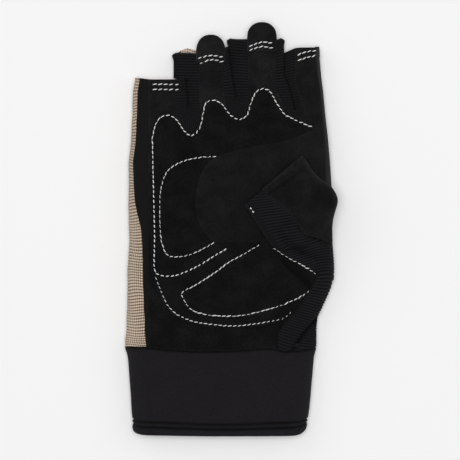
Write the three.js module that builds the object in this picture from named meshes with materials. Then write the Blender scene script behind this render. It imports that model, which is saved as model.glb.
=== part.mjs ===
// A fingerless climbing glove for the right hand, lying on its back with the palm up.
// Millimetres. X runs from the little finger to the thumb, Y to the fingertips, Z up out of the palm.
// The origin is under the middle of the glove, on the surface that it lies on.
import * as THREE from "three";

// Driving dimensions
const WALL = 1.5; // suede and rib-knit walls
const CUFF_WALL = 2; // doubled elastic of the wrist band
const SEAM_INSET = 0.25; // each piece stops this far short of its seam line
const PIECE_GAP = 0.4; // between layers that lie on each other
const OVERLAY_GAP = 0.48; // between the palm and its overlay
const SLIT_WIDTH = 0.9; // between the walls of two neighbouring fingers
const FINGER_SHOULDER = 11.2; // height of a finger's seams
const FINGER_CROWN = 1.3; // how much higher a finger is along its middle
const FINGERS_START = 44; // from here to FINGERS_FULL the palm's crown turns into four finger crowns
const FINGERS_FULL = 70;
const BACK_SEAM_INSET = 5; // the back's seam on the thumb's side lies this far in from the edge
const OVERLAY_WALL = 1.2; // palm overlay inside the white stitching
const PATCH_WALL = 1; // smooth patch in the middle of the palm
const PAD_EDGE = 0.9; // thickness of a pad at its stitching
const PAD_CROWN = 1.2; // how much thicker a pad is in its middle
const TAB_WALL = 1.6;
const CUFF_CLEARANCE = 0.9; // between the hem's inner side and the band inside it
const CUFF_TUCK = 3.5; // length of the wrist band hidden under the hem
const CUFF_TOP = -61.8; // where the wrist band comes out from under the hem
const BINDING_START = -97.4;
const BINDING_BULGE = 0.9;
const CUFF_END = -103.75; // furthest point of the wrist band
const CUFF_CORNER = 2.6; // how much the band's edge is drawn back at its two sides
const CUFF_CORNER_START = 0.8; // share of that at the start of the binding
const DEGREE = Math.PI / 180;

// Turns rows of numbers into rows with named columns.
function table(columns, rows) {
  return rows.map((row) => Object.fromEntries(columns.map((name, i) => [name, row[i]])));
}

// Sections across the hand and the wrist band. The edges are the outline, the seams bound the
// palm, and knitEdge is where the tan knit ends that wraps over the little finger's side.
const HAND = table(
  ["y", "leftEdge", "knitEdge", "leftSeam", "rightSeam", "rightEdge", "crown", "shoulder"],
  [
    [-104, -48.5, -42, -40, 30, 37.5, 12.5, 11.5],
    [-95, -49.5, -42, -40.5, 31, 39, 13, 12],
    [-75, -51, -42, -41, 31, 41, 14, 12.5],
    [-64, -52.3, -42, -41.2, 27, 42.2, 15, 12.8],
    [-58, -53.9, -42.6, -41.5, 23.2, 43.5, 15.5, 13],
    [-51, -52.7, -43, -41.5, 24.5, 43.2, 16.2, 13.5],
    [-45, -52.3, -43.1, -41.5, 28.5, 43.6, 17, 13.8],
    [-39, -52, -43.5, -41.5, 33.8, 46, 17.6, 14],
    [-33, -52, -43.6, -41.5, 37.6, 48.6, 18.2, 14.4],
    [-27, -52, -44, -41.5, 42, 51, 18.7, 14.8],
    [-20, -52.3, -44, -41.5, 44.8, 52, 19, 15],
    [-3, -51.5, -44.4, -41.5, 46.8, 51, 19, 15],
    [15, -51.9, -48, -41.5, 47.3, 50.8, 19, 15],
    [33, -51.5, -48.9, -41.5, 47.4, 50, 17.8, 14.6],
    [45, -50.6, -47.5, -41.5, 47, 49, 16.2, 13.8],
    [57, -50, -47, -41.5, 46, 47.7, 14.2, 12.8],
    [69, -49.4, -46.5, -41.5, 44.8, 46.5, 13, 12],
    [76, -48.4, -45.6, -41.5, 43.6, 45.4, 12.6, 11.6],
    [91, -48.4, -45.6, -41.5, 41.6, 43.4, 12.6, 11.6],
  ],
);

// The four fingers, from the little finger. The ends are the y of the opening's edge at the
// front, on either side and at the back, columns is how many faces cross the finger's front, and
// rowShares are the rows between the last shared row and the opening.
const FINGERS = table(
  ["name", "columns", "frontEnd", "leftEnd", "rightEnd", "backEnd", "rowShares"],
  [
    ["little", 4, 75.7, 74.9, 75.4, 76, [0.5, 1]],
    ["ring", 4, 88, 87.8, 90.2, 90.6, [0.443, 0.571, 0.78, 1]],
    ["middle", 4, 94.2, 94, 95.6, 96, [0.2, 0.4, 0.6, 0.8, 1]],
    ["index", 3, 90.5, 89.4, 90.6, 91, [0.25, 0.5, 0.75, 1]],
  ],
);

// The gussets between the fingers. split is the place across the palm, from 0 to 1, where the
// gusset's rounded lower end starts, at webY. Further up its seams lie halfWidth to either side
// of a line that drifts to topX. The slit between the fingers ends at slitY.
const GUSSETS = table(
  ["name", "split", "webY", "webRound", "halfWidth", "topX", "slitY"],
  [
    ["gusset_little_ring", 0.246, 48, 8, 6, -22, 63],
    ["gusset_ring_middle", 0.523, 56, 7, 6.2, 2.3, 67],
    ["gusset_middle_index", 0.848, 55, 6, 4.8, 27.2, 61],
  ],
);
const GUSSET_DRIFT = 20; // length over which a gusset's middle line drifts to topX

// The line of each slit between two fingers.
const SLITS = [
  table(["y", "x"], [[63, -21.3], [76, -22.4], [96, -22.4]]),
  table(["y", "x"], [[67, 2.4], [80, 0.2], [96, -2]]),
  table(["y", "x"], [[61, 32], [66, 31], [72, 29.3], [79, 26.9], [96, 26.7]]),
];
// Past the little finger's opening the ring finger's gusset bulges out to its left.
const RING_FLARE = { start: 76.2, full: 79, width: 7.4 };

// Rows that all the panels of the hand share, from the hem to the deepest slit.
const HEM_Y = -60.3;
const SHARED_ROWS = [
  HEM_Y, -57, -51, -45, -39, -33, -27, -20, -13, -6, 1, 9, 21, 33, 40, 45, 48, 49, 51, 53.5, 55, 56,
  57.2, 59, 61, 63, 67,
];

// The way from the hand into the thumb, under the thumb's root.
const THUMB_HOLE = { left: 36.5, bottom: -6, top: 9, wallAngle: 60 * DEGREE };

// The thumb is folded over the palm. Sections from its root to its mouth: the edge on the
// palm's side, the edge on the outer side, and how far the front and the back bulge.
const THUMB = table(
  ["at", "innerX", "innerY", "innerZ", "outerX", "outerY", "outerZ", "front", "back", "knitShare"],
  [
    [0, 24.5, -11.2, 21.4, 50.2, -6.2, 15, 1.6, 0.8, 0.5],
    [0.22, 20.5, -8.4, 23.6, 51, 5, 18.6, 4.6, 2.4, 0.47],
    [0.42, 16.8, -3.4, 25, 53.8, 14.4, 21, 6.3, 3.2, 0.43],
    [0.6, 13.4, 2, 25.7, 50.7, 20.4, 22, 7.1, 3.2, 0.39],
    [0.8, 9.8, 7.3, 26, 43.6, 26.2, 23, 7.2, 3.2, 0.35],
    [1, 6.5, 12.4, 26.2, 35, 36.5, 24, 7.2, 3.2, 0.32],
  ],
);
const THUMB_EDGE_ROUND = 4.5; // radius of the tube's two sides
const THUMB_CROWN_SHARE = 0.25; // how much of its bulge is spread over its width
const THUMB_ROWS = 8;
const THUMB_BACK_START = 0.5; // the back starts past the way into the thumb
const THUMB_KNIT_COLUMNS = 4;
const THUMB_SUEDE_COLUMNS = 6;

// Upper edge of the palm overlay, along the roots of the fingers, from crest to trough.
const OVERLAY_TOP = table(
  ["x", "y"],
  [
    [-39.3, 44.5], [-37.5, 52], [-32.2, 57], [-20, 47], [-9.2, 64.4], [4.3, 55], [16.3, 70.3],
    [30.5, 55.4], [41.2, 51],
  ],
);
// Lower edge of the palm overlay, round the heel of the hand and up along the thumb's seam.
const OVERLAY_BOTTOM = table(
  ["x", "y"],
  [
    [-39.3, -19.5], [-35.3, -30], [-31.5, -38], [-27, -42.4], [-19, -45.8], [-8, -47.6],
    [10.5, -47.4], [22, -45.4], [30, -41], [36, -33], [41.2, -26],
  ],
);
const OVERLAY_COLUMNS = 24;
const OVERLAY_ROWS = 9;
const OVERLAY_ROW_POWER = 0.85; // rows lie closer together near the fingers, where it bends most
const OVERLAY_HOLE_MARGIN = 2; // the overlay stops this far short of the way into the thumb

// Pads and the middle patch: their sides at each y.
const OUTER_PAD = table(
  ["y", "left", "right"],
  [
    [-13.3, -29.5, -24.5], [-11.75, -32.5, -18.5], [-7.75, -34.1, -11], [-4.5, -34.8, -12.4],
    [1, -35.2, -16.2], [10, -35.5, -18.6], [20, -34.9, -18.2], [28, -32.4, -16.3],
    [31.5, -29, -14.6], [34.5, -22.2, -11], [36.2, -15, -8.5],
  ],
);
const HEEL_PAD = table(
  ["y", "left", "right"],
  [
    [-43.2, -6, 2], [-42, -14.5, 9.5], [-39.6, -20, 19], [-35.7, -23, 30.5], [-32, -24.5, 35.5],
    [-29.5, -21, 37.8], [-24.5, -12.8, 41], [-20.7, -7, 40], [-16.2, -1, 32.5],
    [-12, 6.7, 25.5], [-8.6, 12.5, 18.5],
  ],
);
const WEB_PATCH = table(
  ["y", "left", "right"],
  [
    [-6.6, -8, 14], [-3.5, -11.6, 24], [1, -15.2, 31], [6.5, -17.2, 34.5], [12.3, -17.9, 36],
    [18, -17.4, 45.6], [25.8, -15.7, 46], [30.8, -13.4, 45.8], [36.5, -6.6, 45.6],
    [41, 9, 45.3], [44.3, 27, 45.2], [49, 39, 44.6],
  ],
);

// Pull tabs at the ends of two fingers.
const TABS = table(
  ["name", "left", "right", "base", "tip", "round"],
  [
    ["ring_pull_tab", -17.8, -3.2, 83.6, 97.6, 9],
    ["middle_pull_tab", 9, 22.4, 89, 103.85, 8.5],
  ],
);
const TAB_NARROW = 0.94; // a tab is this much narrower where it starts
const TAB_BLUNT = 0.03; // how blunt its tip is

const SUEDE = { color: 0x17171a, roughness: 0.92, metalness: 0 };
const OVERLAY_SUEDE = { color: 0x151517, roughness: 0.88, metalness: 0 };
const SMOOTH_SUEDE = { color: 0x131316, roughness: 0.8, metalness: 0 };
const BLACK_KNIT = { color: 0x1b1b1f, roughness: 0.95, metalness: 0 };
const TAN_KNIT = { color: 0xae9d8d, roughness: 0.95, metalness: 0 };
const ELASTIC = { color: 0x1d1b1e, roughness: 0.9, metalness: 0 };

const lerp = THREE.MathUtils.lerp;
const clamp = THREE.MathUtils.clamp;
const smoothstep = THREE.MathUtils.smoothstep;

// Reads a column of a table at a place along another column, on a smooth curve with no overshoot.
function read(rows, along, wanted, place) {
  const last = rows.length - 1;
  if (place <= rows[0][along]) return rows[0][wanted];
  if (place >= rows[last][along]) return rows[last][wanted];
  let k = 0;
  while (place > rows[k + 1][along]) k += 1;
  const slope = (i) => (rows[i + 1][wanted] - rows[i][wanted]) / (rows[i + 1][along] - rows[i][along]);
  const tangent = (i) => {
    if (i === 0) return slope(0);
    if (i === last) return slope(last - 1);
    const before = slope(i - 1);
    const after = slope(i);
    return before * after <= 0 ? 0 : (2 * before * after) / (before + after);
  };
  const length = rows[k + 1][along] - rows[k][along];
  const t = (place - rows[k][along]) / length;
  const rise = 3 * t * t - 2 * t * t * t;
  return (
    lerp(rows[k][wanted], rows[k + 1][wanted], rise) +
    length * tangent(k) * (t * t * t - 2 * t * t + t) +
    length * tangent(k + 1) * (t * t * t - t * t)
  );
}

const hand = (name, y) => read(HAND, "y", name, y);
const backSeam = (y) => hand("rightEdge", y) - BACK_SEAM_INSET;

// Where the gusset's middle line is, on the palm's face or on the back's.
function gussetMiddle(gusset, y, onBack) {
  const start = hand("leftSeam", gusset.webY);
  const palmWidth = hand("rightSeam", gusset.webY) - start;
  const x = start + gusset.split * palmWidth;
  const rightSide = onBack ? backSeam : (at) => hand("rightSeam", at);
  const share = (x - start) / (rightSide(gusset.webY) - start);
  if (y <= gusset.webY) {
    const left = hand("leftSeam", y);
    return left + share * (rightSide(y) - left);
  }
  return lerp(x, gusset.topX, smoothstep(y, gusset.webY, gusset.webY + GUSSET_DRIFT));
}

// Half of the gusset's width at y: nothing at its rounded lower end, then halfWidth.
function gussetHalf(gusset, y) {
  const t = clamp((y - gusset.webY) / gusset.webRound, 0, 1);
  return gusset.halfWidth * Math.sqrt(1 - (1 - t) * (1 - t));
}

// The two long sides of a finger's strip, on the palm's face or on the back's.
function stripSides(finger, y, onBack) {
  const before = GUSSETS[finger - 1];
  const after = GUSSETS[finger];
  const rightSide = onBack ? backSeam(y) : hand("rightSeam", y);
  return {
    left: before ? gussetMiddle(before, y, onBack) + gussetHalf(before, y) : hand("leftSeam", y),
    right: after ? gussetMiddle(after, y, onBack) - gussetHalf(after, y) : rightSide,
  };
}

// Height of the palm's face over the hand: one crown that turns into four.
function palmHeight(x, y) {
  const left = hand("leftSeam", y);
  const right = hand("rightSeam", y);
  const across = clamp((2 * x - left - right) / (right - left), -1, 1);
  const shoulder = hand("shoulder", y);
  const palm = shoulder + (hand("crown", y) - shoulder) * (1 - across * across);
  const finger = GUSSETS.filter((gusset) => x > gussetMiddle(gusset, y, false)).length;
  const strip = stripSides(finger, y, false);
  const along = clamp((2 * x - strip.left - strip.right) / (strip.right - strip.left), -1, 1);
  const crown = FINGER_SHOULDER + FINGER_CROWN * (1 - along * along);
  return lerp(palm, crown, smoothstep(y, FINGERS_START, FINGERS_FULL));
}

// A point of a side wall: angle 0 is the palm's seam, 90 degrees the edge, 180 the back's seam.
function wallPoint(front, edge, back, angle) {
  const seam = angle < Math.PI / 2 ? front : back;
  const share = Math.sin(angle);
  const middle = front.z / 2;
  return new THREE.Vector3(
    lerp(seam.x, edge.x, share),
    lerp(seam.y, edge.y, share),
    middle + (seam.z - middle) * Math.abs(Math.cos(angle)),
  );
}

// A sheet of welded faces, each of which belongs to one piece.
class Sheet {
  constructor() {
    this.points = [];
    this.places = new Map();
    this.faces = [];
  }

  index(point) {
    const key = point.toArray().map((value) => Math.round(value * 1000)).join();
    if (!this.places.has(key)) {
      this.places.set(key, this.points.length);
      this.points.push(point);
    }
    return this.places.get(key);
  }

  // Adds a grid of points. The outer side is that of the columns' direction crossed with the rows'.
  patch(piece, rows, keep = () => true) {
    for (let r = 0; r + 1 < rows.length; r += 1) {
      for (let c = 0; c + 1 < rows[r].length; c += 1) {
        const corners = [rows[r][c], rows[r][c + 1], rows[r + 1][c + 1], rows[r + 1][c]];
        if (!keep(corners)) continue;
        const [a, b, e, d] = corners.map((corner) => this.index(corner));
        this.face(piece, a, b, e);
        this.face(piece, a, e, d);
      }
    }
  }

  face(piece, a, b, c) {
    if (a !== b && b !== c && c !== a) this.faces.push({ piece, corners: [a, b, c] });
  }

  normals() {
    const normals = this.points.map(() => new THREE.Vector3());
    for (const { corners } of this.faces) {
      const [a, b, c] = corners.map((i) => this.points[i]);
      const turned = b.clone().sub(a).cross(c.clone().sub(a));
      corners.forEach((i) => normals[i].add(turned));
    }
    return normals.map((normal) => normal.normalize());
  }

  // Closes one piece into a wall: the sheet is its outer side, and depth(point) is its thickness.
  solid(piece, depth, straightDown = false) {
    const normals = this.normals();
    const faces = this.faces.filter((face) => face.piece === piece);
    const edges = new Map();
    for (const { corners } of faces) {
      corners.forEach((a, i) => edges.set(a + ":" + corners[(i + 1) % 3], [a, corners[(i + 1) % 3]]));
    }
    const rim = [...edges.values()].filter(([a, b]) => !edges.has(b + ":" + a));
    const inward = new Map();
    for (const [a, b] of rim) {
      const along = this.points[b].clone().sub(this.points[a]).normalize();
      const side = normals[a].clone().add(normals[b]).cross(along).normalize();
      for (const i of [a, b]) inward.set(i, [...(inward.get(i) ?? []), side]);
    }
    const used = [...new Set(faces.flatMap((face) => face.corners))];
    const renumbered = new Map(used.map((i, place) => [i, place]));
    const outer = used.map((i) => {
      const sides = inward.get(i);
      if (!sides) return this.points[i].clone();
      const sum = sides.reduce((total, side) => total.add(side), new THREE.Vector3());
      const reach = (SEAM_INSET * sides.length) / Math.max(sum.lengthSq(), 1);
      return this.points[i].clone().addScaledVector(sum, reach);
    });
    const inner = used.map((i, place) => {
      const direction = straightDown ? new THREE.Vector3(0, 0, 1) : normals[i];
      return outer[place].clone().addScaledVector(direction, -depth(this.points[i]));
    });
    const count = used.length;
    const triangles = [];
    for (const { corners } of faces) {
      const [a, b, c] = corners.map((i) => renumbered.get(i));
      triangles.push(a, b, c, a + count, c + count, b + count);
    }
    for (const [from, to] of rim) {
      const a = renumbered.get(from);
      const b = renumbered.get(to);
      triangles.push(b, a, a + count, b, a + count, b + count);
    }
    const geometry = new THREE.BufferGeometry();
    const places = [...outer, ...inner].flatMap((point) => point.toArray());
    geometry.setAttribute("position", new THREE.Float32BufferAttribute(places, 3));
    geometry.setIndex(triangles);
    geometry.computeVertexNormals();
    return geometry;
  }
}

const glove = new THREE.Group();
glove.name = "climbing_glove";

function addPiece(name, geometry, finish) {
  const mesh = new THREE.Mesh(geometry, new THREE.MeshStandardMaterial(finish));
  mesh.name = name;
  glove.add(mesh);
}

// The y of a finger's opening at a place round it: 0 at its front, 1 at its left side,
// -1 at its right side, and 2 at its back.
function openingY(finger, place) {
  const ends = FINGERS[finger];
  const side = place > 0 ? ends.leftEnd : ends.rightEnd;
  const turn = Math.abs(place);
  return turn < 1 ? lerp(ends.frontEnd, side, turn) : lerp(side, ends.backEnd, turn - 1);
}

const levelCount = (finger) => SHARED_ROWS.length + FINGERS[finger].rowShares.length;

// The y of a row at a place round the finger: shared over the hand, then spread to the opening.
function rowY(finger, level, place) {
  if (level < SHARED_ROWS.length) return SHARED_ROWS[level];
  const share = FINGERS[finger].rowShares[level - SHARED_ROWS.length];
  return lerp(SHARED_ROWS.at(-1), openingY(finger, place), share);
}

const levels = (finger, from = 0) =>
  Array.from({ length: levelCount(finger) - from }, (_, i) => i + from);
const spread = (count) => Array.from({ length: count + 1 }, (_, i) => i / count);
const BACK_COLUMNS = 2; // faces across a finger's back, which is flat
const SEAM_PLACE = 0.5; // a finger's seams lie halfway between its front and its sides

// Points across a finger's front or back strip, at one level.
function stripRow(finger, level, onBack) {
  const columns = onBack ? BACK_COLUMNS : FINGERS[finger].columns;
  return spread(columns).map((share) => {
    const turn = (1 - 2 * share) * SEAM_PLACE;
    const place = onBack ? Math.sign(turn || 1) * (2 - Math.abs(turn)) : turn;
    const y = rowY(finger, level, place);
    const sides = stripSides(finger, y, onBack);
    const x = lerp(sides.left, sides.right, share);
    return new THREE.Vector3(x, y, onBack ? 0 : palmHeight(x, y));
  });
}

const frontSeam = (finger, level, side) => stripRow(finger, level, false).at(side < 0 ? 0 : -1);
const backSeamPoint = (finger, level, side) => stripRow(finger, level, true).at(side < 0 ? 0 : -1);

const insideThumbHole = (x, y) =>
  x > THUMB_HOLE.left && y > THUMB_HOLE.bottom && y < THUMB_HOLE.top;
const middleOf = (corners) =>
  corners.reduce((sum, corner) => sum.add(corner), new THREE.Vector3()).divideScalar(corners.length);

// Palm, back and side walls, welded into one shell so that their walls meet squarely.
const shell = new Sheet();

function addPalmAndBack() {
  FINGERS.forEach((_, finger) => {
    const front = levels(finger).map((level) => stripRow(finger, level, false));
    shell.patch("palm_panel", front, (corners) => {
      const middle = middleOf(corners);
      return !insideThumbHole(middle.x, middle.y);
    });
    const back = levels(finger).map((level) => stripRow(finger, level, true).reverse());
    shell.patch("back_panel", back);
  });
}

// The little finger's side: a black strip beside the palm, then the tan knit round the edge.
const STRIP_COLUMNS = 2;
const KNIT_COLUMNS = 5;
function addLeftWall() {
  const rows = levels(0).map((level) => {
    const front = frontSeam(0, level, -1);
    const back = backSeamPoint(0, level, -1);
    const y = rowY(0, level, 1);
    const edge = { x: hand("leftEdge", y), y };
    const seam = hand("leftSeam", y);
    const turn = Math.asin((hand("knitEdge", y) - seam) / (edge.x - seam));
    return { front, back, edge, turn };
  });
  const wall = (from, to, columns) =>
    rows.map(({ front, back, edge, turn }) =>
      spread(columns).map((share) =>
        wallPoint(front, edge, back, lerp(from ?? turn, to ?? turn, share)),
      ),
    );
  shell.patch("back_panel", wall(Math.PI, null, KNIT_COLUMNS));
  shell.patch("outer_side_panel", wall(null, 0, STRIP_COLUMNS));
}

// The thumb's side: a black strip along the index finger, and rib knit down to the wrist.
const WALL_COLUMNS = 6; // faces round a side wall or a gusset
const WRIST_GUSSET_TOP = -6;
function addRightWall() {
  const index = FINGERS.length - 1;
  const rows = levels(index).map((level) => {
    const y = rowY(index, level, -1);
    const front = frontSeam(index, level, 1);
    const back = backSeamPoint(index, level, 1);
    const edge = { x: hand("rightEdge", y), y };
    return spread(WALL_COLUMNS).map((share) => wallPoint(front, edge, back, share * Math.PI));
  });
  const holeColumns = Math.round((THUMB_HOLE.wallAngle / Math.PI) * WALL_COLUMNS);
  const split = SHARED_ROWS.indexOf(WRIST_GUSSET_TOP);
  shell.patch("wrist_gusset", rows.slice(0, split + 1));
  const top = rows.slice(split);
  const holeRows = SHARED_ROWS.indexOf(THUMB_HOLE.top) - split;
  shell.patch("index_side_panel", top.map((row) => row.slice(holeColumns)));
  shell.patch("index_side_panel", top.slice(holeRows).map((row) => row.slice(0, holeColumns + 1)));
}

// A gusset runs down one finger's side, round the bottom of the slit and up the next finger.
function addGusset(number) {
  const gusset = GUSSETS[number];
  const slitLevel = SHARED_ROWS.indexOf(gusset.slitY);
  const webLevel = SHARED_ROWS.findIndex((y) => y >= gusset.webY);
  const slitX = (y) => read(SLITS[number], "y", "x", y);
  const flare = (y) =>
    number === 0 ? RING_FLARE.width * smoothstep(y, RING_FLARE.start, RING_FLARE.full) : 0;
  const arm = (finger, side) =>
    levels(finger, slitLevel).map((level) => {
      const y = rowY(finger, level, side < 0 ? 1 : -1);
      const shift = side > 0 ? -SLIT_WIDTH / 2 : SLIT_WIDTH / 2 - flare(y);
      return {
        front: frontSeam(finger, level, side),
        back: backSeamPoint(finger, level, side),
        edge: { x: slitX(y) + shift, y },
      };
    });
  const turnLevels = [];
  for (let level = slitLevel - 1; level >= webLevel; level -= 1) turnLevels.push([number, level, 1]);
  for (let level = webLevel + 1; level < slitLevel; level += 1) turnLevels.push([number + 1, level, -1]);
  const turn = turnLevels.map(([finger, level, side], i) => {
    const angle = (Math.PI * (i + 1)) / (turnLevels.length + 1);
    return {
      front: frontSeam(finger, level, side),
      back: backSeamPoint(finger, level, side),
      edge: {
        x: slitX(gusset.slitY) - (SLIT_WIDTH / 2) * Math.cos(angle),
        y: gusset.slitY - (SLIT_WIDTH / 2) * Math.sin(angle),
      },
    };
  });
  const path = [...arm(number, 1).reverse(), ...turn, ...arm(number + 1, -1)];
  const rows = path.map(({ front, back, edge }) =>
    spread(WALL_COLUMNS).map((share) => wallPoint(front, edge, back, (1 - share) * Math.PI)),
  );
  shell.patch(gusset.name, rows);
}

addPalmAndBack();
addLeftWall();
addRightWall();
GUSSETS.forEach((_, number) => addGusset(number));
const clothWall = () => WALL;
addPiece("palm_panel", shell.solid("palm_panel", clothWall), SUEDE);
addPiece("back_panel", shell.solid("back_panel", clothWall), TAN_KNIT);
addPiece("outer_side_panel", shell.solid("outer_side_panel", clothWall), BLACK_KNIT);
addPiece("index_side_panel", shell.solid("index_side_panel", clothWall), BLACK_KNIT);
addPiece("wrist_gusset", shell.solid("wrist_gusset", clothWall), BLACK_KNIT);
GUSSETS.forEach(({ name }) => addPiece(name, shell.solid(name, clothWall), BLACK_KNIT));

// Layers on the palm: the overlay, then the pads and the smooth patch on the overlay.
function addLayer(name, rows, lift, depth, finish, keep) {
  const sheet = new Sheet();
  const raised = rows.map((row) =>
    row.map(([x, y], i) => {
      const thickness = depth(i / (row.length - 1), rows.indexOf(row) / (rows.length - 1));
      const point = new THREE.Vector3(x, y, palmHeight(x, y) + lift + thickness);
      point.thickness = thickness;
      return point;
    }),
  );
  sheet.patch(name, raised, keep);
  addPiece(name, sheet.solid(name, (point) => point.thickness, true), finish);
}

const overlayX = (share) => lerp(OVERLAY_TOP[0].x, OVERLAY_TOP.at(-1).x, share);
const overlayRows = spread(OVERLAY_ROWS).map((row) => row ** OVERLAY_ROW_POWER).map((up) =>
  spread(OVERLAY_COLUMNS).map((share) => {
    const x = overlayX(share);
    const bottom = read(OVERLAY_BOTTOM, "x", "y", x);
    const top = read(OVERLAY_TOP, "x", "y", x);
    return [x, lerp(bottom, top, up)];
  }),
);
addLayer("palm_overlay", overlayRows, OVERLAY_GAP, () => OVERLAY_WALL, OVERLAY_SUEDE, (corners) => {
  const middle = middleOf(corners);
  return !insideThumbHole(middle.x + OVERLAY_HOLE_MARGIN, middle.y);
});

const PAD_COLUMNS = 9;
const padRows = (pad) =>
  pad.map((row) => spread(PAD_COLUMNS).map((share) => [lerp(row.left, row.right, share), row.y]));
const padDepth = (across, up) =>
  PAD_EDGE + PAD_CROWN * Math.sqrt(Math.sin(Math.PI * across) * Math.sin(Math.PI * up));
const ON_OVERLAY = OVERLAY_GAP + OVERLAY_WALL + PIECE_GAP;
addLayer("outer_pad", padRows(OUTER_PAD), ON_OVERLAY, padDepth, OVERLAY_SUEDE);
addLayer("heel_pad", padRows(HEEL_PAD), ON_OVERLAY, padDepth, OVERLAY_SUEDE);
addLayer("web_patch", padRows(WEB_PATCH), ON_OVERLAY, () => PATCH_WALL, SMOOTH_SUEDE);

// A pull tab lies on its finger's strip and reaches past the opening with a round end.
const TAB_COLUMNS = 6;
const TAB_ROWS = 7;
function addTab({ name, left, right, base, tip, round }) {
  const middle = (left + right) / 2;
  const half = (right - left) / 2;
  const rows = spread(TAB_ROWS).map((up) => {
    const y = lerp(base, tip, Math.sin((up * Math.PI) / 2));
    const past = clamp((y - (tip - round)) / round, 0, 1);
    const width = half * Math.sqrt(Math.max(1 - past * past, TAB_BLUNT)) * lerp(TAB_NARROW, 1, up);
    return spread(TAB_COLUMNS).map((share) => [middle + (2 * share - 1) * width, y]);
  });
  addLayer(name, rows, PIECE_GAP, () => TAB_WALL, SUEDE);
}
TABS.forEach(addTab);

// The thumb: a flat tube of a suede front and back with a rib-knit gusset on its inner edge.
function thumbPoint(at, share, onBack) {
  const column = (name) => read(THUMB, "at", name, at);
  const width = Math.hypot(
    column("outerX") - column("innerX"),
    column("outerY") - column("innerY"),
  );
  const fromSide = clamp((Math.min(share, 1 - share) * width) / THUMB_EDGE_ROUND, 0, 1);
  const rounded = Math.sqrt(1 - (1 - fromSide) ** 2);
  const bulge = lerp(rounded, Math.sin(Math.PI * share), THUMB_CROWN_SHARE);
  return new THREE.Vector3(
    lerp(column("innerX"), column("outerX"), share),
    lerp(column("innerY"), column("outerY"), share),
    lerp(column("innerZ"), column("outerZ"), share) +
      (onBack ? -column("back") : column("front")) * bulge,
  );
}

// Spreads columns from an edge of the tube, close together where it is round.
const fromEdge = (part) => 1 - Math.cos((part * Math.PI) / 2);
function addThumb() {
  const sheet = new Sheet();
  const places = spread(THUMB_ROWS);
  const knitShare = (at) => read(THUMB, "at", "knitShare", at);
  const knitRow = (at, onBack) =>
    spread(THUMB_KNIT_COLUMNS).map((part) =>
      thumbPoint(at, knitShare(at) * fromEdge(part), onBack),
    );
  const suedeRow = (at, onBack) =>
    spread(THUMB_SUEDE_COLUMNS)
      .map((part) => thumbPoint(at, 1 - (1 - knitShare(at)) * fromEdge(part), onBack))
      .reverse();
  const backPlaces = places.filter((at) => at >= THUMB_BACK_START);
  sheet.patch("thumb_front", places.map((at) => suedeRow(at, false)));
  sheet.patch("thumb_gusset", places.map((at) => knitRow(at, false)));
  sheet.patch("thumb_gusset", backPlaces.map((at) => knitRow(at, true).reverse()));
  sheet.patch("thumb_back", backPlaces.map((at) => suedeRow(at, true).reverse()));
  addPiece("thumb_front", sheet.solid("thumb_front", clothWall), SUEDE);
  addPiece("thumb_back", sheet.solid("thumb_back", clothWall), SUEDE);
  addPiece("thumb_gusset", sheet.solid("thumb_gusset", clothWall), BLACK_KNIT);
}
addThumb();

// The wrist band: an elastic ring tucked under the hem, and the bound edge at its end.
const CUFF_ROWS = [-68, -76, -84, -91];
const CUFF_FRONT_COLUMNS = 8;
const CUFF_SIDE_COLUMNS = 6;

// One closed loop round the wrist: front, right side, back, left side.
function wristLoop(y) {
  const left = { x: hand("leftSeam", y), y, z: palmHeight(hand("leftSeam", y), y) };
  const right = { x: hand("rightSeam", y), y, z: palmHeight(hand("rightSeam", y), y) };
  const backLeft = { x: left.x, y, z: 0 };
  const backRight = { x: backSeam(y), y, z: 0 };
  const edge = (name) => ({ x: hand(name, y), y });
  const front = spread(CUFF_FRONT_COLUMNS).map((share) => {
    const x = lerp(left.x, right.x, share);
    return new THREE.Vector3(x, y, palmHeight(x, y));
  });
  const back = spread(CUFF_FRONT_COLUMNS).map(
    (share) => new THREE.Vector3(lerp(backRight.x, backLeft.x, share), y, 0),
  );
  const side = (seam, name, opposite, from, to) =>
    spread(CUFF_SIDE_COLUMNS).map((share) =>
      wallPoint(seam, edge(name), opposite, lerp(from, to, share)),
    );
  const rightSide = side(right, "rightEdge", backRight, 0, Math.PI);
  const leftSide = side(left, "leftEdge", backLeft, Math.PI, 0);
  return [...front, ...rightSide.slice(1), ...back.slice(1), ...leftSide.slice(1)];
}

// Moves a loop's points out of it, or into it where the distance is negative.
function swell(loop, distance) {
  const count = loop.length - 1;
  const moved = loop.slice(0, count).map((point, i) => {
    const before = loop[(i + count - 1) % count];
    const after = loop[(i + 1) % count];
    const out = new THREE.Vector3(before.z - after.z, 0, after.x - before.x).normalize();
    return point.clone().addScaledVector(out, distance);
  });
  return [...moved, moved[0].clone()];
}

// Draws the band's end back at its two sides.
function roundCorners(loop, share) {
  const half = (hand("rightEdge", CUFF_END) - hand("leftEdge", CUFF_END)) / 2;
  const middle = (hand("rightEdge", CUFF_END) + hand("leftEdge", CUFF_END)) / 2;
  return loop.map((point) => {
    const side = Math.abs((point.x - middle) / half);
    return point.clone().setY(point.y + share * CUFF_CORNER * side ** 4);
  });
}

function addCuff() {
  const sheet = new Sheet();
  const tuck = -(WALL + CUFF_CLEARANCE);
  const hidden = [HEM_Y + CUFF_TUCK, HEM_Y].map((y) => swell(wristLoop(y), tuck));
  const shown = [CUFF_TOP, ...CUFF_ROWS].map((y) => swell(wristLoop(y), 0));
  const last = roundCorners(wristLoop(BINDING_START), CUFF_CORNER_START);
  sheet.patch("cuff_band", [last, ...shown.reverse(), ...hidden.reverse()]);
  addPiece("cuff_band", sheet.solid("cuff_band", () => CUFF_WALL), ELASTIC);
}

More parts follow.
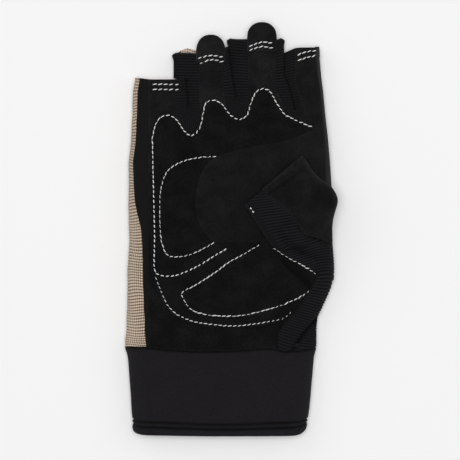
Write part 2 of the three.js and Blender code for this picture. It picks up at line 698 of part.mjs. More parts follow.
const BINDING_ROWS = 4;
const BINDING_LIP = 0.15; // where its round profile starts at the free edge, as a share of a half turn
function addBinding() {
  const sheet = new Sheet();
  const rows = spread(BINDING_ROWS).map((share) => {
    const bulge = BINDING_BULGE * Math.sin(Math.PI * lerp(BINDING_LIP, 1, share));
    const y = lerp(CUFF_END, BINDING_START, share);
    const raised = swell(wristLoop(y), bulge);
    const lifted = raised.map((point) => point.setZ(Math.max(point.z, 0)));
    return roundCorners(lifted, lerp(1, CUFF_CORNER_START, share));
  });
  sheet.patch("cuff_binding", rows);
  addPiece("cuff_binding", sheet.solid("cuff_binding", () => CUFF_WALL), ELASTIC);
}
addCuff();
addBinding();

export default glove;
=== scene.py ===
"""A fingerless climbing glove for the right hand, lying on its back with the palm up.

The tables are in millimetres, in the frame of the solids: X from the little finger to the
thumb, Y to the fingertips, Z up out of the palm. Each cloth piece is a closed wall.
"""

import math

import bpy
import numpy as np
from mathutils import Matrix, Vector
from mathutils.bvhtree import BVHTree
from mathutils.kdtree import KDTree


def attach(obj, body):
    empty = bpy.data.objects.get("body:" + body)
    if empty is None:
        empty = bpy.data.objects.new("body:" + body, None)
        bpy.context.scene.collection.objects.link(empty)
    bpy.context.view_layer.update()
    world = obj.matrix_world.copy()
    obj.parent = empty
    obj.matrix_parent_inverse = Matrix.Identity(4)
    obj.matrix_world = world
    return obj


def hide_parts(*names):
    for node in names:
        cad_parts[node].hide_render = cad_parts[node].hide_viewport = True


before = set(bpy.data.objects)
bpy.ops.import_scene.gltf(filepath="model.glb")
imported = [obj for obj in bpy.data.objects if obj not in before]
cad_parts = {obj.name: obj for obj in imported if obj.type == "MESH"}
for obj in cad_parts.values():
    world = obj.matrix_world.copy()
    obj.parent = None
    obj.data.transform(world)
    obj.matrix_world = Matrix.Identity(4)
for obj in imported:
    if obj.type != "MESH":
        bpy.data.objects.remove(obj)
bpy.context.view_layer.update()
MM = 0.001

# ---------------------------------------------------------------- curves


def table(columns, rows):
    """Rows of numbers as named columns."""
    return dict(zip(columns.split(), np.array(rows, float).T))


def hermite(a, b, slope_a, slope_b, t):
    """A curve from a to b with a slope at each end, at t from 0 to 1."""
    rise = 3 * t**2 - 2 * t**3
    return a + (b - a) * rise + slope_a * (t**3 - 2 * t**2 + t) + slope_b * (t**3 - t**2)


def read(tab, along, wanted, place):
    """A column of a table at places along another column, on a smooth curve with no overshoot."""
    xs, ys = tab[along], tab[wanted]
    slope = np.diff(ys) / np.diff(xs)
    product = slope[:-1] * slope[1:]
    total = np.where(product > 0, slope[:-1] + slope[1:], 1.0)
    middle = np.where(product > 0, 2 * product / total, 0.0)
    tangent = np.concatenate([slope[:1], middle, slope[-1:]])
    place = np.clip(place, xs[0], xs[-1])
    k = np.clip(np.searchsorted(xs, place, side="right") - 1, 0, len(xs) - 2)
    length = xs[k + 1] - xs[k]
    return hermite(
        ys[k], ys[k + 1], length * tangent[k], length * tangent[k + 1], (place - xs[k]) / length
    )


def smoothstep(value, start, end):
    t = np.clip((value - start) / (end - start), 0, 1)
    return t * t * (3 - 2 * t)


def lerp(a, b, t):
    return a + (b - a) * t


def bell(value, width):
    """1 where the value is 0, and falling off over the width."""
    return np.exp(-((value / width) ** 2))


def lengths(points, axis=0):
    """Distance along lines of points, from 0."""
    steps = np.cumsum(np.linalg.norm(np.diff(points, axis=axis), axis=-1), axis)
    return np.concatenate([np.zeros_like(np.take(steps, [0], axis)), steps], axis)


# ---------------------------------------------------------------- the hand's form

# The edges are the outline, the seams bound the palm, and the tan knit ends at knitEdge.
HAND = table(
    "y leftEdge knitEdge leftSeam rightSeam rightEdge crown shoulder",
    [
        [-104, -48.9, -42, -40, 30, 37.4, 12.5, 11.5],
        [-95, -49.8, -42, -40.5, 31, 38.7, 13, 12],
        [-75, -51, -42, -41, 31, 40.9, 14, 12.5],
        [-64, -52, -42, -41.2, 27, 41.9, 15, 12.8],
        [-58, -53.4, -42.7, -41.5, 23.2, 43.1, 15.5, 13],
        [-51, -52.9, -43.1, -41.5, 24.5, 43.1, 16.2, 13.5],
        [-45, -52.5, -43.2, -41.5, 28.5, 43.6, 17, 13.8],
        [-39, -52.1, -43.6, -41.5, 33.8, 46.1, 17.6, 14],
        [-33, -52, -43.7, -41.5, 37.6, 48.8, 18.2, 14.4],
        [-27, -52, -44, -41.5, 42, 51, 18.7, 14.8],
        [-20, -52.1, -44.1, -41.5, 44.8, 52, 19, 15],
        [-3, -51.2, -44.7, -41.5, 46.8, 51, 19, 15],
        [15, -51.5, -48.2, -41.5, 47.3, 50.8, 19, 15],
        [33, -51.3, -49.1, -41.5, 47.4, 49.8, 17.8, 14.6],
        [45, -50.4, -47.8, -41.5, 46.9, 48.8, 16.2, 13.8],
        [57, -49.8, -47.3, -41.5, 45.9, 47.5, 14.2, 12.8],
        [69, -49.2, -46.8, -41.5, 44.8, 46.4, 13, 12],
        [76, -48.2, -45.8, -41.5, 43.7, 45.5, 12.6, 11.6],
        [91, -48.2, -45.8, -41.5, 42.4, 44.2, 12.6, 11.6],
    ],
)
# Where each finger ends, from the little finger: y of the opening's four sides.
FINGERS = table(
    "front left right back",
    [[75.2, 76.3, 76.4, 75.4], [88.2, 89, 92, 90.6], [94.4, 96.2, 96.4, 96], [91.2, 88.8, 91.9, 91]],
)
GUSSETS = table(
    "split webY webRound halfWidth topX slitY",
    [[0.246, 48, 8, 6, -22, 63], [0.523, 56, 7, 6.2, 2.3, 67], [0.848, 55, 6, 4.8, 27.2, 61]],
)
SLITS = [
    table("y x", [[63, -21.3], [76, -22.4], [96, -22.4]]),
    table("y x", [[67, 2.4], [80, 0.2], [96, -2]]),
    table("y x", [[61, 32], [66, 31], [72, 29.3], [79, 26.9], [96, 26.7]]),
]
GUSSET_DRIFT = 20  # length over which a gusset's middle line drifts to topX
BACK_SEAM_INSET = 5
FINGER_SHOULDER = 11.2
FINGER_CROWN = 1.3
FINGERS_START, FINGERS_FULL = 44, 70  # from here to there the crown turns into four
HEM_Y = -60.3
SHARED_END = 67  # up to here all the panels share their rows
# The back of the ring finger's opening rises in a low arch between two places round it.
RING_ARCH = {"height": 1.35, "start": 1.48, "length": 0.36}
# Past the little finger's opening, the ring finger's gusset and its back reach out to the left.
RING_FLARE = {"start": 74.9, "full": 76.2, "width": 6.5}
RING_BACK = {"start": 79, "full": 84, "width": 9.5}
WALL = 1.4


def hand(name, y):
    return read(HAND, "y", name, y)


def back_seam(y):
    return hand("rightEdge", y) - BACK_SEAM_INSET


def gusset_middle(number, y, on_back):
    web_y = GUSSETS["webY"][number]
    start = hand("leftSeam", web_y)
    x = start + GUSSETS["split"][number] * (hand("rightSeam", web_y) - start)
    right_side = back_seam if on_back else (lambda at: hand("rightSeam", at))
    share = (x - start) / (right_side(web_y) - start)
    left = hand("leftSeam", y)
    below = left + share * (right_side(y) - left)
    above = lerp(x, GUSSETS["topX"][number], smoothstep(y, web_y, web_y + GUSSET_DRIFT))
    return np.where(y <= web_y, below, above)


def gusset_half(number, y):
    t = np.clip((y - GUSSETS["webY"][number]) / GUSSETS["webRound"][number], 0, 1)
    return GUSSETS["halfWidth"][number] * np.sqrt(1 - (1 - t) ** 2)


def strip_sides(finger, y, on_back):
    """The two long sides of a finger's strip, on the palm's face or on the back's."""
    y = np.asarray(y, float)
    left = hand("leftSeam", y)
    right = back_seam(y) if on_back else hand("rightSeam", y)
    if finger > 0:
        left = gusset_middle(finger - 1, y, on_back) + gusset_half(finger - 1, y)
    if finger < 3:
        right = gusset_middle(finger, y, on_back) - gusset_half(finger, y)
    if finger == 1 and on_back:
        left = left - RING_BACK["width"] * smoothstep(y, RING_BACK["start"], RING_BACK["full"])
    return left, right


def palm_height(x, y):
    """Height of the palm's face over the hand: one crown that turns into four."""
    x, y = np.broadcast_arrays(np.asarray(x, float), np.asarray(y, float))
    left, right = hand("leftSeam", y), hand("rightSeam", y)
    across = np.clip((2 * x - left - right) / (right - left), -1, 1)
    palm = lerp(hand("shoulder", y), hand("crown", y), 1 - across**2)
    finger = sum((x > gusset_middle(n, y, False)).astype(int) for n in range(3))
    crown = np.zeros_like(palm)
    for n in range(4):
        low, high = strip_sides(n, y, False)
        along = np.clip((2 * x - low - high) / (high - low), -1, 1)
        crown = np.where(finger == n, FINGER_SHOULDER + FINGER_CROWN * (1 - along**2), crown)
    return lerp(palm, crown, smoothstep(y, FINGERS_START, FINGERS_FULL))


# x and y waves per millimetre, phase and height.
WAVES = [
    (0.031, 0.017, 0.3, 0.30), (-0.022, 0.041, 1.9, 0.22), (0.061, -0.029, 4.1, 0.12),
    (0.047, 0.083, 2.6, 0.08), (-0.103, 0.059, 5.2, 0.05),
]
HEM_WAVE = table("x y", [[-44, 1.5], [-30, 0.1], [-14, -0.6], [0, -0.3], [20, 0.9], [27, -0.6], [43, 0.8]])
HEM_ROLL = {"y": -56.5, "width": 2.6, "height": 0.9}
# Valleys of the palm: ends, half width and depth.
VALLEYS = [(25.8, -16.5, 38.5, -27.5, 2.3, 2.4), (27.5, -43, 35.5, -37.5, 2.3, 1.9)]


def ripple(x, y):
    """The slight unevenness of cloth that lies by itself."""
    return sum(h * np.sin(2 * np.pi * (a * x + b * y) + p) for a, b, p, h in WAVES)


def valleys(x, y):
    total = np.zeros_like(x)
    for x1, y1, x2, y2, width, depth in VALLEYS:
        dx, dy = x2 - x1, y2 - y1
        t = np.clip(((x - x1) * dx + (y - y1) * dy) / (dx**2 + dy**2), 0, 1)
        total -= depth * bell(np.hypot(x - x1 - t * dx, y - y1 - t * dy), width)
    return total


def palm_z(x, y):
    """The palm's face with the hem's roll above the wrist band."""
    x, y = np.broadcast_arrays(np.asarray(x, float), np.asarray(y, float))
    roll = HEM_ROLL["height"] * bell(y - HEM_ROLL["y"], HEM_ROLL["width"])
    return palm_height(x, y) + ripple(x, y) * smoothstep(70 - y, 0, 20) + roll + valleys(x, y)


def wall_point(front, edge, back, angle):
    """Points of a side wall: angle 0 is the palm's seam, pi / 2 the edge, pi the back's seam."""
    seam = np.where(angle[..., None] < math.pi / 2, front, back)
    share = np.sin(angle)
    middle = front[..., 2] / 2
    x, y = (lerp(seam[..., i], edge[..., i], share) for i in range(2))
    return np.stack([x, y, middle + (seam[..., 2] - middle) * np.abs(np.cos(angle))], axis=-1)


def opening_y(finger, place):
    """y of the finger's opening: place 0 is its front, 1 its left side, -1 its right, 2 its back."""
    front, left, right, back = (column[finger] for column in FINGERS.values())
    side = np.where(place > 0, left, right)
    turn = np.abs(place)
    line = np.where(turn < 1, lerp(front, side, np.minimum(turn, 1) ** 3), lerp(side, back, turn - 1))
    if finger == 1:
        share = np.clip((place - RING_ARCH["start"]) / RING_ARCH["length"], 0, 1)
        line = line + RING_ARCH["height"] * np.abs(np.sin(np.pi * share)) ** 0.7
    return line


def rows_to(finger, place, step, start=HEM_Y):
    """y of rows from start to the finger's opening, a row for each step, at each place."""
    top = opening_y(finger, np.asarray(place, float))
    count = max(2, int(round((FINGERS["front"][finger] - SHARED_END) / step)))
    shared = np.multiply.outer(np.arange(start, SHARED_END, step), np.ones_like(top))
    spread = np.multiply.outer(np.arange(count + 1) / count, top - SHARED_END)
    return np.concatenate([shared, SHARED_END + spread])


def edge_spread(width, step, tight=0.3):
    """Shares across a strip, a step apart, and closer together at its two seams."""
    count = max(4, int(round(width / step)))
    inner = np.linspace(0, 1, count + 1)[1:-1]
    near = np.array([0, tight, 2.2 * tight]) / width
    inner = inner[(inner > near[-1] * 1.3) & (inner < 1 - near[-1] * 1.3)]
    return np.concatenate([near, inner, 1 - near[::-1]])


# ---------------------------------------------------------------- meshes


def grid(points, u, v, **more):
    """A grid of points and of places on the cloth.

    up is the fine relief of the outer face, and form the large forms that both faces follow.
    relief and the edge column are for the shader: low relief darkens the colour, in places as painted shade,
    and the edge column lightens it, partly as scuffing and partly as painted highlight. keep tells which
    cells are there.
    """
    return {"points": points, "cloth": np.stack([u, v], -1), **more}


def flipped(made):
    return {key: value[:, ::-1] for key, value in made.items()}


def welded(grids):
    """Grids joined where their points meet: points, columns for the shader, columns of height, triangles."""

    def gathered(name, usual):
        shapes = [g["points"].shape[:2] for g in grids]
        parts = [np.broadcast_to(g.get(name, usual), s).ravel() for g, s in zip(grids, shapes)]
        return np.concatenate(parts)

    quads, base = [], 0
    for g in grids:
        rows, columns = g["points"].shape[:2]
        index = base + np.arange(rows * columns).reshape(rows, columns)
        cells = np.stack([index[:-1, :-1], index[:-1, 1:], index[1:, 1:], index[1:, :-1]], -1)
        quads.append(cells[g.get("keep", np.ones(cells.shape[:2], bool))])
        base += rows * columns
    points = np.concatenate([g["points"].reshape(-1, 3) for g in grids])
    cloth = np.concatenate([g["cloth"].reshape(-1, 2) for g in grids])
    cloth = np.column_stack([cloth, gathered("relief", 1.0), gathered("wear", 0.0)])
    up = np.column_stack([gathered("up", 0.0), gathered("form", 0.0)])
    keys = np.round(points * 500).astype(np.int64)
    _, first, inverse = np.unique(keys, axis=0, return_index=True, return_inverse=True)
    quads = inverse.reshape(-1)[np.concatenate(quads)]
    triangles = np.concatenate([quads[:, [0, 1, 2]], quads[:, [0, 2, 3]]])
    a, b, c = triangles.T
    triangles = triangles[(a != b) & (b != c) & (c != a)]
    used = np.unique(triangles)
    renumber = np.zeros(len(first), int)
    renumber[used] = np.arange(len(used))
    first = first[used]
    return points[first], cloth[first], up[first], renumber[triangles]


def vertex_normals(points, triangles):
    a, b, c = (points[triangles[:, i]] for i in range(3))
    turned = np.cross(b - a, c - a)
    normals = np.zeros_like(points)
    for i in range(3):
        np.add.at(normals, triangles[:, i], turned)
    return normals / np.maximum(np.linalg.norm(normals, axis=1), 1e-12)[:, None]


def rim_edges(triangles, count):
    edges = np.concatenate([triangles[:, [0, 1]], triangles[:, [1, 2]], triangles[:, [2, 0]]])
    codes, back = edges @ [count, 1], edges @ [1, count]
    return edges[~np.isin(codes, back)]


def nearest(points, places):
    """Distance from each place to the nearest of points, and that point's index."""
    tree = KDTree(len(points))
    for i, p in enumerate(points):
        tree.insert(p, i)
    tree.balance()
    found = [tree.find(p) for p in places]
    return np.array([f[2] for f in found]), np.array([f[1] for f in found])


def add_mesh(name, points, triangles, cloth, material):
    mesh = bpy.data.meshes.new(name)
    mesh.from_pydata((points * MM).tolist(), [], triangles.tolist())
    mesh.polygons.foreach_set("use_smooth", np.ones(len(mesh.polygons), bool))
    for label, kind, field, values in (
        ("cloth", "FLOAT_VECTOR", "vector", cloth[:, :3]), ("wear", "FLOAT", "value", cloth[:, 3]),
    ):
        attribute = mesh.attributes.new(label, kind, "POINT")
        attribute.data.foreach_set(field, values.astype(np.float32).ravel())
    mesh.update()
    made = bpy.data.objects.new(name, mesh)
    bpy.context.scene.collection.objects.link(made)
    mesh.materials.append(material)
    return made


def close(points, cloth, up, triangles, wall=WALL, roll=0.5, radius=1.1, straight=False):
    """The closed wall of a sheet: its outer face with relief and rolled edges, and a plain inner face."""
    normals = vertex_normals(points, triangles)
    rim = rim_edges(triangles, len(points))
    a, b = rim.T
    distance, _ = nearest(np.concatenate([points[a], (points[a] + points[b]) / 2]), points)
    near = 1 - np.clip(distance / radius, 0, 1)
    drop = roll * (1 - np.sqrt(np.maximum(1 - near**2, 0)))
    body = points + normals * up[:, 1:]
    outer = body + normals * up[:, :1]
    # a rolled edge sinks straight into its seam, so that the neighbour's edge stays against it
    outer[:, 2] -= normals[:, 2] * drop
    inner = body - (np.array([0.0, 0.0, 1.0]) if straight else normals) * wall
    count = len(points)
    faces = [
        triangles, triangles[:, [0, 2, 1]] + count,
        np.stack([b, a, a + count], -1), np.stack([b, a + count, b + count], -1),
    ]
    # every rim is made lighter in colour: painted highlight on the rolled edges, with some scuffing
    cloth = np.column_stack([cloth[:, :3], np.maximum(cloth[:, 3], bell(distance, 0.7))])
    return np.concatenate([outer, inner]), np.concatenate(faces), np.concatenate([cloth, cloth])


made_pieces = {}


def finish_piece(made, node=None):
    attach(made, "root")
    if node:
        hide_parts(node)
    made_pieces[made.name] = made


def add_cloth(name, grids, material, node, slot, **shape):
    points, triangles, cloth = close(*welded(grids), **shape)
    finish_piece(add_mesh(name, points, triangles, cloth, material), node)


# ---------------------------------------------------------------- materials


def srgb(*values):
    return tuple(((v / 255 + 0.055) / 1.055) ** 2.4 if v > 10 else v / 255 / 12.92 for v in values)


def scaled(colour, factor):
    return tuple(c * factor for c in colour)


class Surface:
    """A material, with short names for its shader nodes."""

    def __init__(self, name, roughness, specular, sheen=0.0):
        self.material = bpy.data.materials.new(name)
        self.material.use_nodes = True
        self.nodes, self.links = self.material.node_tree.nodes, self.material.node_tree.links
        self.shader = self.nodes["Principled BSDF"]
        for socket, value in (
            ("Roughness", roughness), ("Specular IOR Level", specular), ("Sheen Weight", sheen),
            ("Sheen Roughness", 0.6), ("Sheen Tint", (1, 1, 1, 1)),
        ):
            self.shader.inputs[socket].default_value = value

    def math(self, operation, *values):
        node = self.nodes.new("ShaderNodeMath")
        node.operation = operation
        for socket, value in zip(node.inputs, values):
            if isinstance(value, (int, float)):
                socket.default_value = value
            else:
                self.links.new(value, socket)
        return node.outputs[0]

    def total(self, start, *terms):
        """A number plus values times their weights."""
        for value, weight in terms:
            start = self.math("ADD", start, self.math("MULTIPLY", value, weight))
        return start

    def wave(self, value, pitch):
        return self.math("SINE", self.math("MULTIPLY", value, 2 * math.pi / pitch))

    def cloth_place(self):
        """Places along and up the cloth, and its relief."""
        node = self.nodes.new("ShaderNodeAttribute")
        node.attribute_name = "cloth"
        split = self.nodes.new("ShaderNodeSeparateXYZ")
        self.links.new(node.outputs["Vector"], split.inputs[0])
        return split.outputs

    # the edge column: lighter rims and patches, partly scuffing and partly painted highlight
    def wear(self):
        node = self.nodes.new("ShaderNodeAttribute")
        node.attribute_name = "wear"
        return node.outputs["Fac"]

    def noise(self, scale, detail, rough, stretch=None):
        node = self.nodes.new("ShaderNodeTexNoise")
        for socket, value in (("Scale", scale), ("Detail", detail), ("Roughness", rough)):
            node.inputs[socket].default_value = value
        place = self.nodes.new("ShaderNodeTexCoord").outputs["Object"]
        if stretch:
            mapping = self.nodes.new("ShaderNodeMapping")
            mapping.inputs["Scale"].default_value = stretch
            self.links.new(place, mapping.inputs["Vector"])
            place = mapping.outputs["Vector"]
        self.links.new(place, node.inputs["Vector"])
        return node.outputs["Fac"]

    def colour(self, value, stops):
        """The base colour, from a ramp of places and colours."""
        node = self.nodes.new("ShaderNodeValToRGB")
        elements = node.color_ramp.elements
        while len(elements) < len(stops):
            elements.new(0.5)
        for element, (place, colour) in zip(elements, stops):
            element.position = place
            element.color = (*colour, 1)
        self.links.new(value, node.inputs["Fac"])
        self.links.new(node.outputs["Color"], self.shader.inputs["Base Color"])

    def bumps(self, *layers):
        """Layers of bump on each other: height, strength and distance of each."""
        below = None
        for height, strength, distance in layers:
            node = self.nodes.new("ShaderNodeBump")
            node.inputs["Strength"].default_value = strength
            node.inputs["Distance"].default_value = distance
            self.links.new(height, node.inputs["Height"])
            if below is not None:
                self.links.new(below, node.inputs["Normal"])
            below = node.outputs["Normal"]
        self.links.new(below, self.shader.inputs["Normal"])
        return self.material


def suede(name, colour, roughness=0.95, specular=0.06, nap=1.0, edge_lightening=0.07):
    """Brushed leather: a fine nap, soft patches where it was stroked, short fibres, and edges lightened
    partly by scuffing and partly as painted highlight.
    """
    s = Surface(name, roughness, specular, 0.02 * nap)
    fine, patch = s.noise(1700, 5, 0.75), s.noise(95, 3, 0.55)
    fibre = s.noise(800, 2, 0.6, stretch=(1.0, 0.35, 1.0))
    _, _, relief = s.cloth_place()
    # low relief darkens the colour, in places as painted shade; the edge column lightens the rims, scuffing
    # and painted highlight together
    shade = s.total(-0.1, (fine, 0.66), (patch, 0.34), (s.wear(), edge_lightening), (relief, 0.1))
    s.colour(shade, [(0.38, scaled(colour, 0.4)), (0.5, colour), (0.64, scaled(colour, 2.1))])
    return s.bumps((fine, 0.6, 0.0003), (fibre, 0.4, 0.0003))


def rib_knit(name, colour, stitch=0.95, groove_shade=0.3, light=1.9, cross=0.14, tint=(1, 1, 1), span=1.0):
    """Rib knit: the ribs are in the mesh, and the rows of stitches across them are here. Their colour has
    painted shade in the grooves and a painted highlight on the crests.
    """
    s = Surface(name, 0.95, 0.05, 0.02)
    u, _, relief = s.cloth_place()
    across = s.total(0.5, (s.wave(u, stitch), 0.5))
    fine, patch = s.noise(1500, 4, 0.7), s.noise(110, 2, 0.5)
    # low relief is painted shade in the ribs' grooves, high relief a painted highlight on their crests; the
    # edge column adds painted highlight and scuffing at the rims
    shade = s.total(0.0, (relief, 0.5), (across, cross), (fine, 0.26), (patch, 0.1), (s.wear(), 0.06))
    middle = 0.43 + cross / 2
    # the darkest colour is the grooves' painted shade, browned by the tint, and the lightest the crests'
    # painted highlight
    deep = tuple(c * t * groove_shade for c, t in zip(colour, tint))
    stops = [(middle - 0.33 * span, deep), (middle, colour), (middle + 0.3 * span, scaled(colour, light))]
    s.colour(shade, stops)
    return s.bumps((across, 0.4, 0.0003), (fine, 0.5, 0.00025))


def elastic_weave(name, colour, warp_pitch=0.8, weft_pitch=0.62):
    """Woven elastic: fine cords round the wrist, crossed by a finer weft."""
    s = Surface(name, 0.9, 0.08, 0.03)
    u, v, relief = s.cloth_place()
    weave = s.math("MULTIPLY", s.wave(u, weft_pitch), s.wave(v, warp_pitch))
    fine, patch = s.noise(1500, 4, 0.7), s.noise(70, 3, 0.55)
    # low relief darkens the colour, partly as painted shadow under the hand's hem; the edge column lightens
    # the rims, partly as painted highlight
    shade = s.total(-0.2, (weave, 0.07), (fine, 0.6), (patch, 0.08), (relief, 0.36), (s.wear(), 0.04))
    stops = [(0.12, 0.12), (0.3, 0.5), (0.5, 1.0), (0.7, 1.6)]
    s.colour(shade, [(place, scaled(colour, share)) for place, share in stops])
    return s.bumps((weave, 0.4, 0.00022), (fine, 0.45, 0.00025))


def thread(name, colour):
    """Twisted sewing thread."""
    s = Surface(name, 0.6, 0.3, 0.05)
    u, v, _ = s.cloth_place()
    twist = s.total(0.5, (s.math("SINE", s.total(0.0, (u, 14.0), (v, 3.0))), 0.5))
    s.colour(twist, [(0.0, scaled(colour, 0.78)), (1.0, colour)])
    return s.bumps((twist, 0.4, 0.0001))


BLACK_SUEDE = suede("black_suede", srgb(21, 21, 21.4))
OVERLAY_SUEDE = suede("overlay_suede", srgb(14, 13.8, 14.6))
SMOOTH_SUEDE = suede("smooth_suede", srgb(14.7, 14.7, 15), roughness=0.85, specular=0.1, nap=0.6)
# the thumb's edges are lightened more: scuffing and painted highlight
THUMB_SUEDE = suede("thumb_suede", srgb(17.6, 17.6, 17.9), edge_lightening=0.12)
BLACK_KNIT = rib_knit("black_rib_knit", srgb(20, 19.8, 22))
FINGER_KNIT = rib_knit("black_finger_knit", srgb(18.6, 18.4, 20.2))
OUTER_KNIT = rib_knit("black_side_knit", srgb(13.4, 13.2, 14.3), groove_shade=0.4)
# a lighter copy of the black knit for the index finger's side: painted highlight where that side turns to
# the light
INDEX_KNIT_HIGHLIT = rib_knit("black_index_knit_highlit", srgb(36, 36, 36), groove_shade=0.5, light=1.6)
TAN_KNIT = rib_knit(
    "tan_rib_knit", srgb(178, 162, 145), stitch=1.2, groove_shade=0.27, light=1.42, cross=0.3,
    tint=(1.14, 0.97, 0.84), span=0.78,
)
ELASTIC = elastic_weave("charcoal_elastic", srgb(25, 23.2, 26.2))
WHITE_THREAD = thread("white_thread", srgb(235, 235, 232))

# ---------------------------------------------------------------- stitch lines

STITCH_PITCH = 2.45
# Centres of the white stitch lines.
STITCH_LINES = {
    "finger_roots": [
        (-39.5, 44.8), (-38.2, 50.8), (-36, 55.3), (-32.2, 57.1), (-28, 55.5), (-24.5, 50.8), (-22.2, 48),
        (-19.9, 47), (-17.5, 48.3), (-15.3, 51.5), (-13.5, 60.3), (-12.5, 63.3), (-9.2, 64.7), (-5, 63),
        (-0.5, 57.5), (2.3, 55.5), (4.3, 55), (6.5, 55.8), (8.3, 57.8), (10, 63), (11.5, 67), (13.5, 69.6),
        (16, 70.3), (19.2, 69.3), (22.7, 63.5), (26.7, 57.8), (30.7, 55.5), (35.3, 53.3), (40.5, 51.2),
    ],
    "outer_edge": [
        (-39.3, 44.6), (-38.7, 19.8), (-38.2, -2.8), (-38.4, -17.5), (-37.9, -20.6), (-36.2, -22.5),
        (-32.2, -23.3), (-27.6, -22.9), (-20.7, -20.3), (-14.5, -17.1), (-8.5, -13.3), (-2, -9.5),
    ],
    "lower_edge": [
        (-37.9, -23.4), (-36.8, -26), (-35.6, -29.1), (-34.5, -31.8), (-32.4, -36.6), (-31, -38.7),
        (-29.4, -40.3), (-27.4, -42.1), (-25, -43.4), (-19.2, -45.8), (-11.5, -47.1), (0.5, -48.1),
        (10.5, -47.3), (20, -45.8), (26.8, -44.1), (30.5, -40.8),
    ],
    "outer_pad": [
        (-7, 36.4), (-14.5, 36), (-22.3, 34.5), (-29.1, 31.4), (-32.5, 27.8), (-34.9, 20.3), (-35.5, 8.8),
        (-34.9, -4.8), (-34.1, -7.8), (-32.5, -11.8), (-30, -13.4), (-24.5, -13.4), (-18.5, -11.8),
        (-13, -9.1), (-8, -6.3),
    ],
    "heel_pad": [
        (14.5, -7.5), (11.8, -9.1), (4.5, -13.3), (-1, -16.3), (-7, -20.8), (-13, -24.8), (-19.2, -28.6),
        (-23, -30.5), (-24.5, -32), (-23, -35.8), (-20, -39.7), (-14.5, -42), (-7, -43), (2.3, -43.1),
        (8.5, -42.3), (16, -40.5), (25, -37.8), (33.5, -34.3), (39.5, -30.5),
    ],
    "thumb_root": [(20.8, -9.1), (22.5, -10.1), (27.3, -13.4), (35, -17.5), (40.5, -20.9), (42.8, -22.8)],
}
# Short double rows at the finger openings, from the little finger.
STITCH_ROWS = [
    [(-39.5, 72.8), (-26, 72.6)], [(-39.5, 70.2), (-26, 70.1)],
    [(-17, 85.6), (-10, 87), (-3.6, 86.2)], [(-15.8, 83.2), (-9.5, 84.9), (-3.4, 83.8)],
    [(8.8, 91.5), (15.5, 93.7), (20.8, 93.2)], [(8.8, 89.5), (15, 91.4), (21.4, 90.7)],
    [(33, 87.3), (38.3, 89.1), (43, 89.6)], [(33.2, 84.6), (38.3, 86.2), (42.6, 87.2)],
]
THUMB_STITCHES = [[(9.3, 11.3), (11.5, 7.9)]]


def along(points, step):
    """A smooth line through points, resampled every step: places and distance along it."""
    p = np.array(points, float)
    knots = lengths(p)
    rise, run = np.diff(p, axis=0), np.diff(knots)[:, None]
    inner = (p[2:] - p[:-2]) / (knots[2:] - knots[:-2])[:, None]
    tangents = np.concatenate([rise[:1] / run[:1], inner, rise[-1:] / run[-1:]])
    t = np.linspace(0, knots[-1], max(2, int(knots[-1] / 0.05)))
    k = np.clip(np.searchsorted(knots, t, side="right") - 1, 0, len(p) - 2)
    fine = hermite(
        p[k], p[k + 1], run[k] * tangents[k], run[k] * tangents[k + 1], (t - knots[k])[:, None] / run[k]
    )
    length = lengths(fine)
    at = np.arange(0, length[-1], step)
    return np.column_stack([np.interp(at, length, column) for column in fine.T]), at


SEWN = [along(line, 0.4) for line in STITCH_LINES.values()]
SEWN_PLACES = np.concatenate([np.column_stack([p, np.zeros(len(p))]) for p, _ in SEWN])
SEWN_RUN = np.concatenate([run for _, run in SEWN])


def sewn_dip(x, y, depth=0.55, width=1.0, pucker=0.14, reach=1.7):
    """How the cloth is drawn in along the stitch lines, with a pucker at each stitch."""
    distance, found = nearest(SEWN_PLACES, np.column_stack([x.ravel(), y.ravel(), np.zeros(x.size)]))
    drawn = pucker * np.cos(2 * np.pi * SEWN_RUN[found] / STITCH_PITCH) * bell(distance, reach)
    return (drawn - depth * bell(distance, width)).reshape(x.shape)


# ---------------------------------------------------------------- the hand's panels

TAN_PITCH, TAN_DEPTH = 1.445, 0.26
BLACK_PITCH, BLACK_DEPTH = 1.38, 0.3
STRIP_KNIT = 0.95  # courses of the smooth strips on the two sides
THUMB_HOLE = {"left": 36.5, "bottom": -6, "top": 9}


def rib(phase, pitch):
    """Round ribs with narrow grooves: 1 at their crests, 0 in the grooves."""
    return 1 - np.abs(np.cos(np.pi * phase / pitch)) ** 2.4


def strip_grid(finger, on_back, step_y, step_x):
    """A finger's strip from the hem to its opening: x, y, z and the opening's y."""
    share = edge_spread(22, step_x)
    turn = (1 - 2 * share) * 0.5
    place = np.where(turn >= 0, 1.0, -1.0) * (2 - np.abs(turn)) if on_back else turn
    y = rows_to(finger, place, step_y)
    x = lerp(*strip_sides(finger, y, on_back), share[None, :])
    z = np.zeros_like(x) if on_back else palm_z(x, y)
    return x, y, z, np.broadcast_to(opening_y(finger, place), x.shape)


def hem_at(y, open_y, length=6.2, height=0.35):
    """The folded hem at an opening: a double layer that ends in a small step."""
    return height * smoothstep(y - open_y + length, 0, 0.9)


def wave_hem(points):
    """Moves the lower edge to the slightly uneven line of the hem over the wrist band."""
    moved = points.copy()
    share = smoothstep(-points[..., 1], 50, -HEM_Y)
    moved[..., 1] += share * read(HEM_WAVE, "x", "y", points[..., 0])
    return moved


def cell_middles(values):
    return (values[:-1, :-1] + values[1:, :-1] + values[:-1, 1:] + values[1:, 1:]) / 4


def outside_thumb_hole(x, y, inset=0):
    x, y = cell_middles(x) + inset, cell_middles(y)
    return ~((x > THUMB_HOLE["left"]) & (y > THUMB_HOLE["bottom"]) & (y < THUMB_HOLE["top"]))


